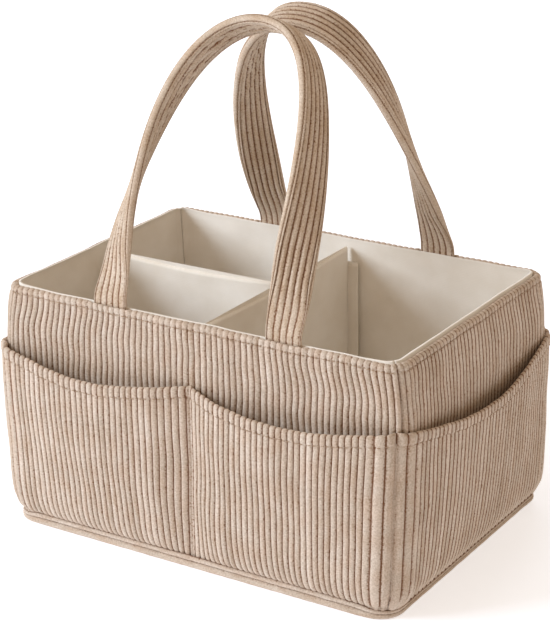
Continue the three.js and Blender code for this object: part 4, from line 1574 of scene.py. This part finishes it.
@dataclass(frozen=True)
class Studio:
    """Pale floor, soft light from the front left and the camera at the photograph's angle."""

    azimuth: float = 32.522
    elevation: float = 20.406
    roll: float = -0.918
    distance: float = 1.7423
    focal_pixels: float = 2000.0
    image: tuple[int, int] = (550, 626)
    target_pixel: Span = (277.73, 393.41)
    target_height: float = 107.5 * MM
    sensor: float = 36.0
    floor_colour: str = "#e9effb"
    floor_roughness: float = 0.9
    floor_light: str = "#ffffff"
    floor_glow: float = 0.5
    floor_reach: float = 8.0
    sky_colour: str = "#ffe5c8"
    sky_strength: float = 0.52
    lamps: tuple[Lamp, ...] = (
        Lamp("key_light", (-2.25, -2.12, 1.5), size=1.4, power=94.0, tint="#e6f2ff"),
        Lamp("top_light", (-0.5, -0.6, 2.6), size=1.6, power=9.0, tint="#ffffff"),
        Lamp("back_light", (-1.0, 2.7, 1.2), size=1.6, power=22.0, tint="#e6f2ff"),
    )

    def camera(self) -> None:
        """Stands the camera so that the target point falls on its pixel, with no shift."""
        az, el, roll = (math.radians(v) for v in (self.azimuth, self.elevation, self.roll))
        back = Vector((math.sin(az) * math.cos(el), -math.cos(az) * math.cos(el), math.sin(el)))
        level = Vector((math.cos(az), math.sin(az), 0.0))
        upright = back.cross(level)
        right = level * math.cos(roll) + upright * math.sin(roll)
        up = upright * math.cos(roll) - level * math.sin(roll)
        dx = (self.target_pixel[0] - self.image[0] / 2) / self.focal_pixels
        dy = -(self.target_pixel[1] - self.image[1] / 2) / self.focal_pixels
        place = Vector((0.0, 0.0, self.target_height)) - self.distance * (dx * right + dy * up - back)
        lens = bpy.data.cameras.new("camera")
        lens.sensor_width = self.sensor
        lens.lens = self.focal_pixels / max(self.image) * self.sensor
        camera = bpy.data.objects.new("camera", lens)
        axes = Matrix((right, up, back)).transposed().to_4x4()
        camera.matrix_world = Matrix.Translation(place) @ axes
        bpy.context.scene.collection.objects.link(camera)
        bpy.context.scene.camera = camera

    def floor(self) -> None:
        """Lays a wide pale floor, lit a little from within like a light table."""
        mesh = bpy.data.meshes.new("floor")
        far = self.floor_reach
        corners = [(-far, -far, 0.0), (far, -far, 0.0), (far, far, 0.0), (-far, far, 0.0)]
        mesh.from_pydata(corners, [], [(0, 1, 2, 3)])
        floor = bpy.data.objects.new("floor", mesh)
        bpy.context.scene.collection.objects.link(floor)
        material, tree, shader = new_material("studio_floor")
        paint = {"Base Color": linear(self.floor_colour), "Roughness": self.floor_roughness}
        glow = {"Emission Color": linear(self.floor_light), "Emission Strength": self.floor_glow}
        fill_inputs(tree, shader, {**paint, **glow})
        mesh.materials.append(material)

    def build(self) -> None:
        """Sets up the camera, the floor, the lights and the pale surroundings."""
        self.camera()
        self.floor()
        for lamp in self.lamps:
            lamp.build()
        world = bpy.data.worlds.new("studio")
        world.use_nodes = True
        sky = {"Color": linear(self.sky_colour), "Strength": self.sky_strength}
        fill_inputs(world.node_tree, world.node_tree.nodes["Background"], sky)
        bpy.context.scene.world = world
        bpy.context.scene.view_settings.view_transform = "Standard"


@dataclass
class Caddy:
    """The whole caddy, built piece by piece over the frame."""

    frame: dict
    finishes: Finishes
    plan: Plan = field(default_factory=Plan)
    cloth: CordCloth = field(default_factory=CordCloth)
    bend_start: float = -1 * MM  # two distances over the rim
    bend_end: float = 24 * MM
    wing_margin: float = 4 * MM

    def settle(self, piece: Piece, material: Material, body: str | None = "tub") -> None:
        """Gives a piece its material and lets it ride on a body.

        Args:
            piece: the piece.
            material: its finish.
            body: the body that carries it, or None for a piece that rides on none.
        """
        piece.data.materials.append(material)
        if body is not None:
            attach(piece, body)
        LOG.info("%s made", piece.name)

    def handles(self) -> list[Handle]:
        """Reads the hinge lines from the frame and sets up the two straps.

        Returns:
            The front strap and the back one, which stands a little aside.
        """
        joints = {joint["name"]: joint for joint in self.frame["joints"]}
        front = Handle(
            label="front",
            facing=-1,
            hinge=Vector(joints["front_handle_swing"]["pos_m"]),
            shift=-2 * MM,
            foot_shift=4 * MM,
            sway=10 * MM,
            sway_power=4.5,
            top_pull=88 * MM,
            twist_power=2.2,
        )
        back = Handle(
            label="back",
            facing=1,
            hinge=Vector(joints["back_handle_swing"]["pos_m"]),
            shift=5 * MM,
            foot_shift=0.0,
            sway=9 * MM,
            sway_power=1.2,
            top_pull=81 * MM,
            twist_power=1.8,
        )
        return [front, back]

    def add_walls(self, handles: list[Handle]) -> None:
        """Makes the wall panels, the pockets and their stitching.

        Args:
            handles: the straps, behind which the hem is thinner.
        """
        rim_thread = Stitching("rim_stitching")
        hem_thread = Stitching("pocket_stitching")
        foot_thread = Stitching("foot_stitching", length=4.4 * MM, radius=0.75 * MM, slant=-1.2)
        feet = {h.label: [h.shift + h.foot_shift + end * h.half_spread for end in (-1, 1)] for h in handles}
        long_form = {"compartments": 2, "bulge": 10 * MM, "dip": 10 * MM, "foot": 10.5 * MM}
        end_form = {"compartments": 1, "bulge": 12 * MM, "dip": 17 * MM, "foot": 6.5 * MM}
        for side in Side:
            common = {"side": side, "plan": self.plan, "cloth": self.cloth}
            # Distances across the back wall run the other way from X.
            turn = -1.0 if side is Side.BACK else 1.0
            panel = WallPanel(straps=tuple(turn * x for x in feet.get(side.label, ())), **common)
            pocket = Pocket(**common, **(long_form if side.is_long else end_form))
            self.add_sheet(panel, f"{side.label}_panel")
            self.add_sheet(pocket, f"{side.label}_pocket")
            panel.hem_stitches(rim_thread)
            pocket.hem_stitches(hem_thread)
            if not side.is_long:
                pocket.foot_stitches(foot_thread)
        self.settle(rim_thread.build(), self.finishes.thread)
        self.settle(hem_thread.build(), self.finishes.thread)
        self.settle(foot_thread.build(), self.finishes.dark_thread)

    def add_sheet(self, sheet: CordSheet, node: str) -> None:
        """Builds one cord sheet of the tub and hides the frame's node that it replaces.

        Args:
            sheet: the wall panel or the pocket.
            node: the frame's node that it replaces.
        """
        piece = sheet.build()
        self.settle(piece, self.finishes.cord)
        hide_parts(node)
        2 * sheet.reach

    def add_lining(self) -> None:
        """Makes the cream lining of walls and floor."""
        lining = Lining(self.plan)
        for side in Side:
            piece = lining.wall(side)
            self.settle(piece, self.finishes.lining)
            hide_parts(f"{side.label}_lining")
            cut = (2 * self.plan.seam(side), self.plan.rim_height - lining.low)
        floor = lining.floor()
        self.settle(floor, self.finishes.lining)
        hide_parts("floor_lining")

    def add_foot(self) -> None:
        """Makes the welt round the foot and the cord underneath."""
        welt = Welt(self.plan).build()
        under = Underside(self.plan, self.cloth).build()
        for piece, node in ((welt, "base_welt"), (under, "base_panel")):
            self.settle(piece, self.finishes.cord)
            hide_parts(node)

    def add_handles(self, handles: list[Handle]) -> None:
        """Makes the straps and their stitching.

        Args:
            handles: the two straps.
        """
        for handle in handles:
            thread = Stitching(f"{handle.label}_strap_stitching", radius=0.36 * MM)
            handle.stitches(thread)
            strap, row = handle.build(), thread.build()
            self.settle(strap, self.finishes.strap_cord, body=None)
            self.settle(row, self.finishes.thread, body=None)
            for piece in (strap, row):
                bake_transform(piece)
            tails = [f"{handle.label}_handle_tail_{foot}" for foot in ("left", "right")]
            layers = [f"{handle.label}_handle_{layer}" for layer in ("face", "backing", "core")]
            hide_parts(*layers, *tails)

    def add_dividers(self) -> None:
        """Makes the two dividers from the boxes of their covers."""
        for label, turned in (("cross_divider", True), ("half_divider", False)):
            low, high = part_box(f"{label}_cover")
            hook_low, hook_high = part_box(f"{label}_hook_{'front' if turned else 'left'}")
            divider = Divider(
                label=label,
                centre=((low.x + high.x) / 2, (low.y + high.y) / 2),
                length=(high.y - low.y) if turned else (high.x - low.x),
                turned=turned,
                low=low.z,
                high=high.z,
                wing_low=hook_low.z - self.wing_margin,
                wing_high=hook_high.z + self.wing_margin,
            )
            sleeve = divider.sleeve()
            self.settle(sleeve, self.finishes.lining, label)
            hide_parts(f"{label}_cover")
            for end in (-1, 1):
                wing = divider.wing(end)
                self.settle(wing, self.finishes.lining, label)

    def dress_nodes(self) -> None:
        """Gives the frame's own nodes that stay, the hidden stiffeners and the tapes, their finish."""
        slots = {part["node"]: part["material_slot"] for part in self.frame["record"]["subparts"]}
        kinds = {"felt": self.finishes.felt, "board": self.finishes.board, "tape": self.finishes.tape}
        for name, node in self.frame["nodes"].items():
            if slots[name] in kinds and not node.hide_render:
                node.data.materials.clear()
                node.data.materials.append(kinds[slots[name]])

    def build(self) -> None:
        """Builds every sub-assembly in order."""
        handles = self.handles()
        self.add_walls(handles)
        self.add_foot()
        self.add_lining()
        self.add_dividers()
        self.add_handles(handles)
        self.dress_nodes()


def main() -> None:
    """Loads the frame and builds the caddy and the studio."""
    logging.basicConfig(level=logging.INFO, format="%(name)s: %(message)s")
    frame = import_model()
    Studio().build()
    Caddy(frame, Finishes()).build()


if __name__ == "__main__":
    main()
